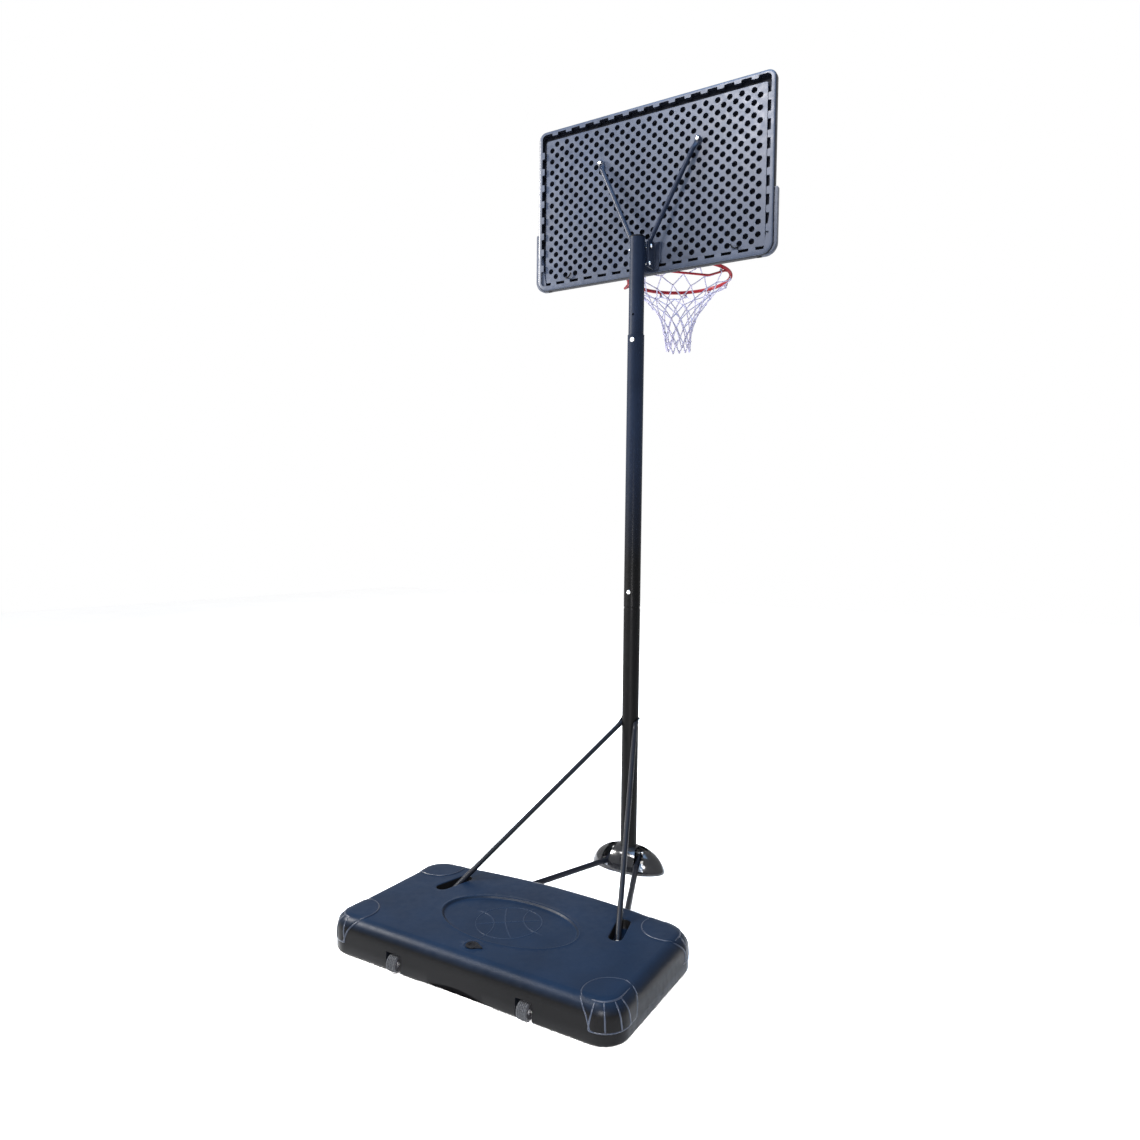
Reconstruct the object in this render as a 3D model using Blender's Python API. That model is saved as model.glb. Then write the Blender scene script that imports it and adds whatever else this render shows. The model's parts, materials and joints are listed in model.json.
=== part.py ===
"""Portable basketball hoop: hollow base tank, three-section pole, backboard, rim and net.

Metres, +Z up. The hoop faces -Y and the base tank lies behind the pole, towards +Y.
"""
import math

import bpy
import bmesh
from mathutils import Matrix, Vector

for old in list(bpy.data.objects):
    bpy.data.objects.remove(old, do_unlink=True)

# ---------------------------------------------------------------- driving dimensions
GAP = 0.0003                    # clearance between touching pieces
SIDES = (("left", 1), ("right", -1))

BASE_HALF = 0.556               # base tank half width
BASE_REAR = 1.1845              # rear wall, measured from the pole axis
BASE_FRONT = 0.552              # front wall at its middle
BASE_BOW = 0.046                # how far the front corners stand back from the middle
BASE_TOP = 0.122
BASE_WALL = 0.004
REAR_CORNER = 0.085
FRONT_CORNER = 0.100
BASE_ROWS = ((0.0, 0.012), (0.004, 0.004), (0.012, 0.0), (0.082, 0.003), (0.098, 0.008),
             (0.110, 0.017), (0.118, 0.029), (BASE_TOP, 0.045))

OVAL_Y = 0.896                  # oval recess in the middle of the top
OVAL_A = 0.258
OVAL_B = 0.155
OVAL_DEPTH = 0.008
SLOT_INNER = (0.333, 0.702)     # ends of the back strut slots, centre line
SLOT_OUTER = (0.358, 0.806)
SLOT_HALF = 0.023
SLOT_FLOOR = 0.088
STRUT_BASE_BOLT = (0.352, 0.785)
FILLER_Y = 1.098
FILLER_R = 0.015
ARCH_HALF = 0.20                # shallow arch in the rear lower edge
ARCH_HEIGHT = 0.014
ARCH_DEPTH = 0.16
CHANNEL_HALF = 0.017            # channels for the lower struts under the front edge
CHANNEL_TOP = 0.046
CHANNEL_END = 0.688

WHEEL_R = 0.028
WHEEL_X = 0.2525
WHEEL_WIDTH = 0.036
WHEEL_Z = 0.030
WHEEL_Y = BASE_REAR - 0.012
NOTCH_HALF = 0.030
NOTCH_TOP = 0.064
NOTCH_FRONT = WHEEL_Y - 0.036
AXLE_R = 0.004
AXLE_REACH = 0.009              # how far an axle goes into each notch wall

POLE_R = 0.035
POLE_WALL = 0.0015
POLE_FOOT_Z = 0.004
JOINT_Z = 1.120
JOINT_BOLT_Z = 1.184
NECK_TOP = 1.225
MIDDLE_TOP = 2.262
TOP_R = 0.032
TOP_END = 2.664
HOLE_STEP = 0.105
HEIGHT_BOLT_Z = 2.237
HEIGHT_HOLES = 4                # hidden height holes below the height bolt
TOP_START = 1.690

FOOT_A = 0.166
FOOT_B = 0.086
FOOT_H = 0.098
FOOT_BOLT_Z = 0.068
FOOT_EAR_X = 0.0635
HUB_R = 0.043

LOWER_STRUT_R = 0.012
BACK_STRUT_R = 0.010
BACK_STRUT_Z = 0.635
TAB_HALF = 0.0032               # half thickness of a flattened tube end

BOARD_REAR = -0.0860            # rear face, measured from the pole axis
BOARD_T = 0.030
BOARD_Z = 2.537
BOARD_H = 0.719
BOARD_HALF = 0.551
FLANGE_OUT = 0.012
FLANGE_H = 0.263
CORNER_TOP = 0.036
CORNER_LOW = 0.050
GROOVE_IN = 0.026
GROOVE_W = 0.014
GROOVE_DEPTH = 0.008
BOARD_CAVITY_IN = 0.050

BRACKET_Z = (2.547, 2.665)
BRACKET_PLATE_HALF = 0.062
BRACKET_FLANGE = (0.0375, 0.0405)
BRACKET_REACH = -0.024
SHEET = 0.003
LUG = (0.0342, 0.0372)
LUG_Z = (2.549, 2.655)
BRACKET_BOLT_Y = -0.037
BRACKET_BOLT_Z = (("upper", 2.635), ("lower", 2.566))
BOARD_STRUT_TOP = (0.2275, 3.053)
BOARD_STRUT_R = 0.010

RING_R = 0.2366
RING_ROD = 0.008
RING_Y = -0.440
RING_Z = 2.621
RIM_PLATE_HALF = 0.066
RIM_PLATE_Z = (2.545, 2.645)
RIM_BOLT_X = 0.023
RIM_BOLT_Z = (2.588, 2.612)
HOOKS = 12
NET_TOP = RING_Z - 0.0235
NET_ROWS = ((0.0, 0.224), (0.060, 0.172), (0.120, 0.122), (0.180, 0.086), (0.240, 0.065),
            (0.326, 0.056))
NET_T = 0.004

POLE_Y = -(BASE_REAR + (WHEEL_Y + WHEEL_R - BASE_REAR) + RING_Y - RING_R - RING_ROD) / 2

# ---------------------------------------------------------------- materials


def material(name, color, roughness, metallic=0.0):
    made = bpy.data.materials.new(name)
    made.use_nodes = True
    shader = made.node_tree.nodes["Principled BSDF"]
    shader.inputs["Base Color"].default_value = (*color, 1.0)
    shader.inputs["Roughness"].default_value = roughness
    shader.inputs["Metallic"].default_value = metallic
    return made


LOOKS = {
    "tank": ((0.030, 0.036, 0.050), 0.42, 0.0),
    "cap": ((0.012, 0.012, 0.014), 0.5, 0.0),
    "wheel": ((0.10, 0.10, 0.105), 0.7, 0.0),
    "pole": ((0.035, 0.042, 0.058), 0.3, 0.3),
    "foot": ((0.012, 0.012, 0.014), 0.12, 0.0),
    "strut": ((0.03, 0.035, 0.048), 0.32, 0.3),
    "zinc": ((0.70, 0.70, 0.69), 0.25, 1.0),
    "board": ((0.105, 0.125, 0.165), 0.45, 0.0),
    "bracket": ((0.05, 0.055, 0.07), 0.4, 0.3),
    "rim": ((0.42, 0.025, 0.035), 0.3, 0.2),
    "net": ((0.62, 0.62, 0.72), 0.8, 0.0),
}

# ---------------------------------------------------------------- frames of reference
pole_axis = bpy.data.objects.new("pole_axis", None)
bpy.context.collection.objects.link(pole_axis)
pole_axis.location = (0, POLE_Y, 0)

head_slide = bpy.data.objects.new("head_slide", None)
bpy.context.collection.objects.link(head_slide)
head_slide.parent = pole_axis

# ---------------------------------------------------------------- mesh helpers


def link(name, bm, look=None, parent=pole_axis, at=(0, 0, 0), smooth=True):
    """Make an object from the bmesh; without a look it becomes a hidden cutter."""
    bmesh.ops.recalc_face_normals(bm, faces=bm.faces)
    mesh = bpy.data.meshes.new(name)
    bm.to_mesh(mesh)
    bm.free()
    ob = bpy.data.objects.new(name, mesh)
    bpy.context.collection.objects.link(ob)
    ob.parent = parent
    ob.location = at
    if look is None:
        ob.hide_render = True
        ob.display_type = 'WIRE'
        return ob
    mesh.materials.append(material(name, *LOOKS[look]))
    if smooth:
        mesh.shade_smooth()
        mesh.set_sharp_from_angle(angle=math.radians(32))
    return ob


def skin_into(bm, rings, loop=False):
    """Bridge closed rings of points, and cap both ends or join the last to the first."""
    rows = [[bm.verts.new(p) for p in ring] for ring in rings]
    count = len(rows[0])
    pairs = list(zip(rows, rows[1:]))
    if loop:
        pairs.append((rows[-1], rows[0]))
    for low, high in pairs:
        for k in range(count):
            n = (k + 1) % count
            bm.faces.new((low[k], low[n], high[n], high[k]))
    if not loop:
        bm.faces.new(rows[0][::-1])
        bm.faces.new(rows[-1])


def skin(name, rings, look=None, loop=False, **kw):
    bm = bmesh.new()
    skin_into(bm, rings, loop)
    return link(name, bm, look, **kw)


def circle(radius, z, count, squash=1.0, start=0.0):
    turn = 2 * math.pi / count
    return [(radius * math.cos(start + turn * k), radius * squash * math.sin(start + turn * k), z)
            for k in range(count)]


def box_into(bm, low, high):
    size = [h - l for l, h in zip(low, high)]
    middle = [(h + l) / 2 for l, h in zip(low, high)]
    move = Matrix.Translation(middle) @ Matrix.Diagonal((*size, 1))
    bmesh.ops.create_cube(bm, size=1, matrix=move)


def rod_into(bm, start, end, radius, count=12):
    """A closed straight rod between two points."""
    start = Vector(start)
    end = Vector(end)
    run = end - start
    turn = run.to_track_quat('Z', 'Y').to_matrix().to_4x4()
    move = Matrix.Translation((start + end) / 2) @ turn
    bmesh.ops.create_cone(bm, cap_ends=True, segments=count, radius1=radius, radius2=radius,
                          depth=run.length, matrix=move)


def cut(ob, cutter, operation='DIFFERENCE'):
    step = ob.modifiers.new(cutter.name, 'BOOLEAN')
    step.operation = operation
    step.solver = 'EXACT'
    step.object = cutter


def cutter_of(name, parent=pole_axis, rods=(), boxes=()):
    bm = bmesh.new()
    for start, end, radius in rods:
        rod_into(bm, start, end, radius, count=12 if radius < 0.01 else 40)
    for low, high in boxes:
        box_into(bm, low, high)
    return link(name, bm, parent=parent)


def matched(before, ring):
    """Turn the ring's point order so that it lies straight above the ring before it."""
    count = len(ring)
    turns = [ring[k:] + ring[:k] for k in range(count)]
    return min(turns, key=lambda t: sum((Vector(a) - Vector(b)).length_squared
                                        for a, b in zip(before, t)))


def strut_rings(stations, shrink, count=12):
    """Oval sections along a path; each station is point, wide axis, half width, half thickness."""
    points = [s[0] for s in stations]
    rings = []
    for k, (point, wide, half_w, half_t) in enumerate(stations):
        ahead = (points[min(k + 1, len(points) - 1)] - point)
        behind = (point - points[max(k - 1, 0)])
        run = (ahead.normalized() + behind.normalized()).normalized()
        across = (wide - run * wide.dot(run)).normalized()
        normal = run.cross(across)
        half_w = half_w - shrink
        half_t = max(half_t - shrink, TAB_HALF / 8)
        turn = 2 * math.pi / count
        ring = [point + across * half_w * math.cos(turn * n) + normal * half_t * math.sin(turn * n)
                for n in range(count)]
        rings.append(matched(rings[-1], ring) if rings else ring)
    return rings


def strut(name, stations, wall, parent=pole_axis):
    """A tube with flattened ends, open through the narrow slits at both ends."""
    outer = strut_rings(stations, 0.0)
    inner = strut_rings(stations, wall)
    inner[0] = matched(outer[0], inner[0])
    for k in range(1, len(inner)):
        inner[k] = matched(inner[k - 1], inner[k])
    return skin(name, outer + inner[::-1], "strut", loop=True, parent=parent)


TURNS = {'Z': Matrix.Identity(4), '-Z': Matrix.Rotation(math.pi, 4, 'X'),
         'X': Matrix.Rotation(math.pi / 2, 4, 'Y'), '-X': Matrix.Rotation(-math.pi / 2, 4, 'Y'),
         'Y': Matrix.Rotation(-math.pi / 2, 4, 'X'), '-Y': Matrix.Rotation(math.pi / 2, 4, 'X')}


def turned(name, profile, look, axis='Z', count=16, **kw):
    """A closed body of revolution; the profile is (radius, height) from bottom to top."""
    rings = [circle(r, z, count) for r, z in profile]
    bm = bmesh.new()
    skin_into(bm, rings)
    bmesh.ops.transform(bm, matrix=TURNS[axis], verts=bm.verts)
    return link(name, bm, look, **kw)


def bolt(name, at, axis, shank, radius=0.0032, head=0.0075, head_h=0.005, **kw):
    """A round-headed bolt: the head stands towards the axis and the shank runs back from at."""
    profile = [(radius, -shank), (radius, 0.0), (head, 0.0), (head, head_h * 0.35),
               (head * 0.78, head_h * 0.8), (head * 0.3, head_h)]
    return turned(name, profile, "zinc", axis=axis, count=12, at=at, **kw)


def nut(name, at, axis, radius=0.0032, across=0.0075, height=0.006, **kw):
    """A hexagon nut round a shank, standing from at towards the axis."""
    outer = [circle(across if k % 2 == 0 else across * math.cos(math.pi / 6), 0, 12)[k]
             for k in range(12)]
    inner = [(x, y, 0) for x, y, _ in circle(radius + GAP, 0, 12)]
    rings = [[(x, y, z) for x, y, _ in side] for side, z in
             ((outer, 0), (outer, height), (inner, height), (inner, 0))]
    bm = bmesh.new()
    skin_into(bm, rings, loop=True)
    bmesh.ops.transform(bm, matrix=TURNS[axis], verts=bm.verts)
    return link(name, bm, "zinc", at=at, smooth=False, **kw)


# ---------------------------------------------------------------- base tank


def base_ring(z, inset):
    """The tank's outline at one height: straight rear and sides, bowed front, round corners."""
    corner_steps = 6
    ring = []
    rear = REAR_CORNER - inset
    rear_x = BASE_HALF - REAR_CORNER
    rear_y = BASE_REAR - REAR_CORNER
    for middle, start in ((rear_x, 0.0), (-rear_x, math.pi / 2)):
        for k in range(corner_steps + 1):
            a = start + math.pi / 2 * k / corner_steps
            ring.append((middle + rear * math.cos(a), rear_y + rear * math.sin(a), z))
    lean = math.atan(2 * BASE_BOW / (BASE_HALF - FRONT_CORNER))
    join_x = BASE_HALF - FRONT_CORNER + FRONT_CORNER * math.sin(lean)
    front = FRONT_CORNER - inset
    front_x = BASE_HALF - FRONT_CORNER
    front_y = BASE_FRONT + BASE_BOW + FRONT_CORNER * math.cos(lean)
    sweep = math.pi / 2 - lean
    for k in range(corner_steps + 1):
        a = math.pi + sweep * k / corner_steps
        ring.append((-front_x + front * math.cos(a), front_y + front * math.sin(a), z))
    bow_steps = 8
    for k in range(1, bow_steps):
        x = -join_x + 2 * join_x * k / bow_steps
        ring.append((x, BASE_FRONT + BASE_BOW * (x / join_x) ** 2 + inset, z))
    for k in range(corner_steps + 1):
        a = 2 * math.pi - sweep + sweep * k / corner_steps
        ring.append((front_x + front * math.cos(a), front_y + front * math.sin(a), z))
    return ring


def slot_ring(side, z, grow, count=12):
    """The outline of a strut slot: two half circles round the slot's end points."""
    a = Vector((side * SLOT_INNER[0], SLOT_INNER[1], 0))
    b = Vector((side * SLOT_OUTER[0], SLOT_OUTER[1], 0))
    along = (b - a).normalized()
    across = Vector((-along.y, along.x, 0))
    ring = []
    for middle, start in ((b, -math.pi / 2), (a, math.pi / 2)):
        for k in range(count // 2 + 1):
            turn = start + math.pi * k / (count // 2)
            p = middle + (along * math.cos(turn) + across * math.sin(turn)) * (SLOT_HALF + grow)
            ring.append((p.x, p.y, z))
    return ring


def arch_rings(grow):
    """The arch under the rear edge: an upright section pulled forward from the rear wall."""
    steps = 8
    half = ARCH_HALF + grow
    section = [(half, -0.01 - grow)]
    for k in range(steps + 1):
        x = half - 2 * half * k / steps
        section.append((x, grow + ARCH_HEIGHT * math.cos(math.pi * x / (2 * half)) ** 2 + 0.0004))
    section.append((-half, -0.01 - grow))
    return [[(x, y, z) for x, z in section]
            for y in (BASE_REAR - ARCH_DEPTH - grow, BASE_REAR + 0.02)]


def channel_rings(side, grow):
    """The channel for one lower strut, open under the base and at its front edge."""
    a, b = LOWER_RUN
    a = Vector((side * a.x, a.y, 0))
    b = Vector((side * b.x, b.y, 0))
    along = (b - a).normalized()
    across = Vector((-along.y, along.x, 0)) * (CHANNEL_HALF + grow)
    start = a + along * 0.40
    end = a + along * ((CHANNEL_END + grow - a.y) / along.y)
    plan = [start - across, end - across, end + across, start + across]
    return [[(p.x, p.y, z) for p in plan] for z in (-0.01 - grow, CHANNEL_TOP + grow)]


def base_features(name, grow):
    """All pockets of the tank, or those pockets with their walls when grow is a wall."""
    bm = bmesh.new()
    top = BASE_TOP + 0.01
    for _, side in SIDES:
        skin_into(bm, [slot_ring(side, SLOT_FLOOR - grow, grow), slot_ring(side, top, grow)])
        x = side * WHEEL_X
        box_into(bm, (x - NOTCH_HALF - grow - (AXLE_REACH if grow else 0), NOTCH_FRONT - grow, -0.02),
                 (x + NOTCH_HALF + grow + (AXLE_REACH if grow else 0), BASE_REAR + 0.03,
                  NOTCH_TOP + grow))
        skin_into(bm, channel_rings(side, grow))
    skin_into(bm, arch_rings(grow))
    oval = [(x, y + OVAL_Y) for x, y, _ in circle(OVAL_A + grow, 0, 40, (OVAL_B + grow) / (OVAL_A + grow))]
    low = [(x, y + OVAL_Y) for x, y, _ in circle(OVAL_A + grow - 0.008, 0, 40,
                                                 (OVAL_B + grow - 0.008) / (OVAL_A + grow - 0.008))]
    skin_into(bm, [[(x, y, BASE_TOP - OVAL_DEPTH - grow) for x, y in low],
                   [(x, y, BASE_TOP + 0.002) for x, y in oval]])
    return link(name, bm)


LOWER_RUN = (Vector((0.066, 0.055, 0.034)), Vector((0.300, 0.655, 0.022)))

base_tank = skin("base_tank", [base_ring(z, inset) for z, inset in BASE_ROWS], "tank")
hollow = skin("cut_base_hollow",
              [base_ring(max(z, BASE_WALL) if z < BASE_TOP / 2 else z - BASE_WALL, inset + BASE_WALL)
               for z, inset in BASE_ROWS[1:]])
cut(hollow, base_features("cut_base_keep", BASE_WALL))
posts = cutter_of("cut_base_posts", rods=[
    ((side * STRUT_BASE_BOLT[0], STRUT_BASE_BOLT[1], 0.04),
     (side * STRUT_BASE_BOLT[0], STRUT_BASE_BOLT[1], 0.10), 0.009) for _, side in SIDES])
cut(hollow, posts)
cut(base_tank, hollow)
cut(base_tank, base_features("cut_base_pockets", 0.0))
drills = [((0, FILLER_Y, BASE_TOP - 0.02), (0, FILLER_Y, BASE_TOP + 0.02), FILLER_R)]
for _, side in SIDES:
    x, y = STRUT_BASE_BOLT
    drills.append(((side * x, y, 0.062), (side * x, y, 0.10), 0.0032 + GAP))
    reach = NOTCH_HALF + AXLE_REACH
    drills.append(((side * WHEEL_X - reach, WHEEL_Y, WHEEL_Z),
                   (side * WHEEL_X + reach, WHEEL_Y, WHEEL_Z), AXLE_R + GAP))
    end = LOWER_RUN[1]
    drills.append(((side * end.x, end.y, 0.04), (side * end.x, end.y, 0.075), 0.0032 + GAP))
cut(base_tank, cutter_of("cut_base_drills", rods=drills))

# ---------------------------------------------------------------- filler cap
CAP_R = 0.021
fill_cap = turned("fill_cap", [(0.0125, -0.010), (0.0142, -0.006), (0.0142, GAP), (CAP_R, GAP),
                               (CAP_R, 0.0035), (CAP_R - 0.002, 0.005), (0.008, 0.0055)],
                  "cap", count=20, at=(0, FILLER_Y, BASE_TOP))
tab = bmesh.new()
ring_r = 0.012
tab_steps = 16
tab_rings = []
for k in range(tab_steps):
    a = 2 * math.pi * k / tab_steps
    out = Vector((math.cos(a), math.sin(a), 0))
    middle = Vector((-CAP_R - ring_r + 0.003, 0, 0.0035)) + out * ring_r
    tab_rings.append([middle + out * 0.0026 * math.cos(b) + Vector((0, 0, 0.0022 * math.sin(b)))
                      for b in [2 * math.pi * n / 6 for n in range(6)]])
skin_into(tab, tab_rings, loop=True)
cut(fill_cap, link("cut_cap_tab", tab, at=(0, FILLER_Y, BASE_TOP)), 'UNION')

# ---------------------------------------------------------------- wheels and axles
for side_name, side in SIDES:
    half = WHEEL_WIDTH / 2
    bore = AXLE_R + GAP
    rows = [(bore, -half), (WHEEL_R - 0.004, -half), (WHEEL_R, -half + 0.003), (WHEEL_R, half - 0.003),
            (WHEEL_R - 0.004, half), (bore, half)]
    wheel_mesh = bmesh.new()
    skin_into(wheel_mesh, [circle(r, z, 24) for r, z in rows], loop=True)
    bmesh.ops.transform(wheel_mesh, matrix=Matrix.Rotation(math.pi / 2, 4, 'Y'), verts=wheel_mesh.verts)
    link("wheel_" + side_name, wheel_mesh, "wheel", at=(side * WHEEL_X, WHEEL_Y, WHEEL_Z))
    reach = NOTCH_HALF + AXLE_REACH - 0.001
    turned("wheel_axle_" + side_name, [(AXLE_R, -reach), (AXLE_R, reach)], "zinc", axis='X', count=12,
           at=(side * WHEEL_X, WHEEL_Y, WHEEL_Z))

# ---------------------------------------------------------------- pole sections


def tube(name, rows, look, parent=pole_axis, count=32):
    """A hollow round tube; rows are (outer radius, inner radius, height) from bottom to top."""
    outer = [circle(o, z, count) for o, _, z in rows]
    inner = [circle(i, z, count) for _, i, z in rows]
    return skin(name, outer + inner[::-1], look, loop=True, parent=parent)


neck_r = POLE_R - POLE_WALL - 0.0004
pole_lower = tube("pole_lower", [
    (POLE_R, POLE_R - POLE_WALL, POLE_FOOT_Z), (POLE_R, POLE_R - POLE_WALL, JOINT_Z - 0.012),
    (neck_r, neck_r - POLE_WALL, JOINT_Z - GAP), (neck_r, neck_r - POLE_WALL, NECK_TOP)], "pole")
pole_middle = tube("pole_middle", [
    (POLE_R, POLE_R - POLE_WALL, JOINT_Z), (POLE_R, POLE_R - POLE_WALL, MIDDLE_TOP)], "pole")
pole_top = tube("pole_top", [
    (TOP_R, TOP_R - POLE_WALL, TOP_START), (TOP_R, TOP_R - POLE_WALL, TOP_END)], "pole",
    parent=head_slide)

lug = bmesh.new()
web_y = -TOP_R + 0.002
lug_plan = [(LUG[1], BRACKET_BOLT_Y - 0.021), (LUG[1], web_y + 0.006), (-LUG[1], web_y + 0.006),
            (-LUG[1], BRACKET_BOLT_Y - 0.021), (-LUG[0], BRACKET_BOLT_Y - 0.021), (-LUG[0], web_y),
            (LUG[0], web_y), (LUG[0], BRACKET_BOLT_Y - 0.021)]
skin_into(lug, [[(x, y, z) for x, y in lug_plan] for z in LUG_Z])
lug = link("cut_pole_lug", lug, parent=head_slide)
bore_keep = tube("cut_lug_bore", [(TOP_R - POLE_WALL / 2, 0.001, LUG_Z[0] - 0.01),
                                  (TOP_R - POLE_WALL / 2, 0.001, LUG_Z[1] + 0.01)], None,
                 parent=head_slide)
cut(lug, bore_keep)
cut(pole_top, lug, 'UNION')

BOLT_HOLE = 0.0036
pole_long = POLE_R + 0.01
cut(pole_lower, cutter_of("cut_lower_holes", rods=[
    ((-pole_long, 0, FOOT_BOLT_Z), (pole_long, 0, FOOT_BOLT_Z), BOLT_HOLE),
    ((-pole_long, 0, BACK_STRUT_Z), (pole_long, 0, BACK_STRUT_Z), BOLT_HOLE),
    ((0, -pole_long, JOINT_BOLT_Z), (0, pole_long, JOINT_BOLT_Z), BOLT_HOLE)]))
cut(pole_middle, cutter_of("cut_middle_holes", rods=[
    ((0, -pole_long, JOINT_BOLT_Z), (0, pole_long, JOINT_BOLT_Z), BOLT_HOLE),
    ((0, -pole_long, HEIGHT_BOLT_Z), (0, pole_long, HEIGHT_BOLT_Z), BOLT_HOLE)]))
holes = [HEIGHT_BOLT_Z + HOLE_STEP * (1 - k) for k in range(HEIGHT_HOLES + 2)]
cross = [((-pole_long, BRACKET_BOLT_Y, z), (pole_long, BRACKET_BOLT_Y, z), BOLT_HOLE)
         for _, z in BRACKET_BOLT_Z]
cut(pole_top, cutter_of("cut_top_holes", parent=head_slide, rods=cross + [
    ((0, -pole_long, z), (0, pole_long, z), 0.0045) for z in holes]))

cap_r = TOP_R - POLE_WALL - GAP
turned("pole_top_cap", [(cap_r - 0.001, -0.018), (cap_r, -0.014), (cap_r, GAP), (TOP_R + 0.0008, GAP),
                        (TOP_R + 0.0008, 0.004), (TOP_R - 0.004, 0.0065), (0.012, 0.0075)],
       "cap", count=24, parent=head_slide, at=(0, 0, TOP_END))

# ---------------------------------------------------------------- pole foot
dome_rows = [(1.0, 0.0), (1.0, 0.006), (0.975, 0.018), (0.915, 0.038), (0.80, 0.060), (0.64, 0.078),
             (0.44, 0.090), (0.28, FOOT_H)]
pole_foot = skin("pole_foot", [circle(FOOT_A * r, z, 36, FOOT_B / FOOT_A) for r, z in dome_rows], "foot")
foot_wall = 0.004
inner_squash = (FOOT_B - foot_wall) / (FOOT_A - foot_wall)
foot_hollow = skin("cut_foot_hollow", [circle((FOOT_A - foot_wall) * r, z - (foot_wall if z else 0.01), 36,
                                              inner_squash) for r, z in dome_rows[:-1]])
cut(foot_hollow, cutter_of("cut_foot_hub", rods=[((0, 0, -0.02), (0, 0, 0.12), HUB_R)]))
cut(pole_foot, foot_hollow)
cut(pole_foot, cutter_of("cut_foot_pole", rods=[((0, 0, -0.02), (0, 0, 0.12), POLE_R + 0.0008)]))
foot_ways = bmesh.new()
for _, side in SIDES:
    a = Vector((side * FOOT_EAR_X, -0.020, 0))
    b = Vector((side * FOOT_EAR_X, 0.030, 0))
    c = Vector((side * LOWER_RUN[1].x, LOWER_RUN[1].y, 0))
    c = b + (c - b).normalized() * 0.10
    out = Vector((0.017, 0, 0))
    plan = [a - out * side * 0.94, b - out * side * 0.94, c - out * side * 1.5,
            c + out * side * 1.5, b + out * side * 1.3, a + out * side * 1.3]
    skin_into(foot_ways, [[(p.x, p.y, z) for p in plan] for z in (0.016, 0.13)])
cut(pole_foot, link("cut_foot_ways", foot_ways))
cut(pole_foot, cutter_of("cut_foot_bolt", rods=[((-0.06, 0, FOOT_BOLT_Z), (0.06, 0, FOOT_BOLT_Z),
                                                 BOLT_HOLE)]))

# ---------------------------------------------------------------- struts
for side_name, side in SIDES:
    up = Vector((0, 0, 1))
    start, end = (Vector((side * p.x, p.y, p.z)) for p in LOWER_RUN)
    run = (end - start).normalized()
    ear = Vector((side * FOOT_EAR_X, 0, FOOT_BOLT_Z))
    fall = (start - ear).normalized()
    flat = (run.cross(up)).normalized()
    wide = fall.cross(Vector((1, 0, 0))).normalized()
    level = Vector((run.x, run.y, 0)).normalized()
    tab = Vector((end.x, end.y, CHANNEL_TOP - GAP - TAB_HALF))
    stations = [
        (ear - fall * 0.013, wide, 0.014, TAB_HALF), (ear + fall * 0.014, wide, 0.014, TAB_HALF),
        (ear + fall * 0.034, wide, 0.0125, 0.009), (start + run * 0.006, wide, LOWER_STRUT_R, LOWER_STRUT_R),
        (start + run * 0.05, wide, LOWER_STRUT_R, LOWER_STRUT_R),
        (end - run * 0.075, flat, LOWER_STRUT_R, LOWER_STRUT_R),
        (tab - level * 0.034 - up * 0.006, flat, 0.0140, 0.0065),
        (tab - level * 0.015, flat, 0.0150, TAB_HALF), (tab + level * 0.014, flat, 0.0150, TAB_HALF)]
    ob = strut("lower_strut_" + side_name, stations, 0.0015)
    cut(ob, cutter_of("cut_lower_strut_" + side_name, rods=[
        (ear - Vector((0.02, 0, 0)), ear + Vector((0.02, 0, 0)), BOLT_HOLE),
        (tab - up * 0.02, tab + up * 0.02, BOLT_HOLE)]))
    bolt("lower_strut_bolt_" + side_name, (tab.x, tab.y, tab.z - TAB_HALF - GAP), '-Z', 2 * TAB_HALF + 0.022)

    top = Vector((side * (POLE_R + GAP + TAB_HALF), 0, BACK_STRUT_Z))
    foot = Vector((side * STRUT_BASE_BOLT[0], STRUT_BASE_BOLT[1], SLOT_FLOOR + GAP + TAB_HALF))
    down = Vector((0, foot.y, foot.z - top.z)).normalized()
    level = Vector((foot.x - top.x, foot.y, 0)).normalized()
    wide = down.cross(Vector((1, 0, 0)))
    flat = level.cross(up)
    first = top + down * 0.055 + Vector((side * 0.006, 0, 0))
    last = foot - level * 0.040 + up * 0.018
    run = (last - first).normalized()
    stations = [
        (top - down * 0.013, wide, 0.0125, TAB_HALF), (top + down * 0.018, wide, 0.0125, TAB_HALF),
        (first, wide, BACK_STRUT_R, BACK_STRUT_R), (first + run * 0.03, wide, BACK_STRUT_R, BACK_STRUT_R),
        (last - run * 0.03, flat, BACK_STRUT_R, BACK_STRUT_R), (last, flat, 0.0105, 0.008),
        (foot - level * 0.016, flat, 0.0125, TAB_HALF), (foot + level * 0.013, flat, 0.0125, TAB_HALF)]
    ob = strut("back_strut_" + side_name, stations, 0.0012)
    cut(ob, cutter_of("cut_back_strut_" + side_name, rods=[
        (top - Vector((0.02, 0, 0)), top + Vector((0.02, 0, 0)), BOLT_HOLE),
        (foot - up * 0.02, foot + up * 0.02, BOLT_HOLE)]))
    bolt("strut_base_bolt_" + side_name, (foot.x, foot.y, foot.z + TAB_HALF + GAP), 'Z',
         2 * TAB_HALF + 0.018)

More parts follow.
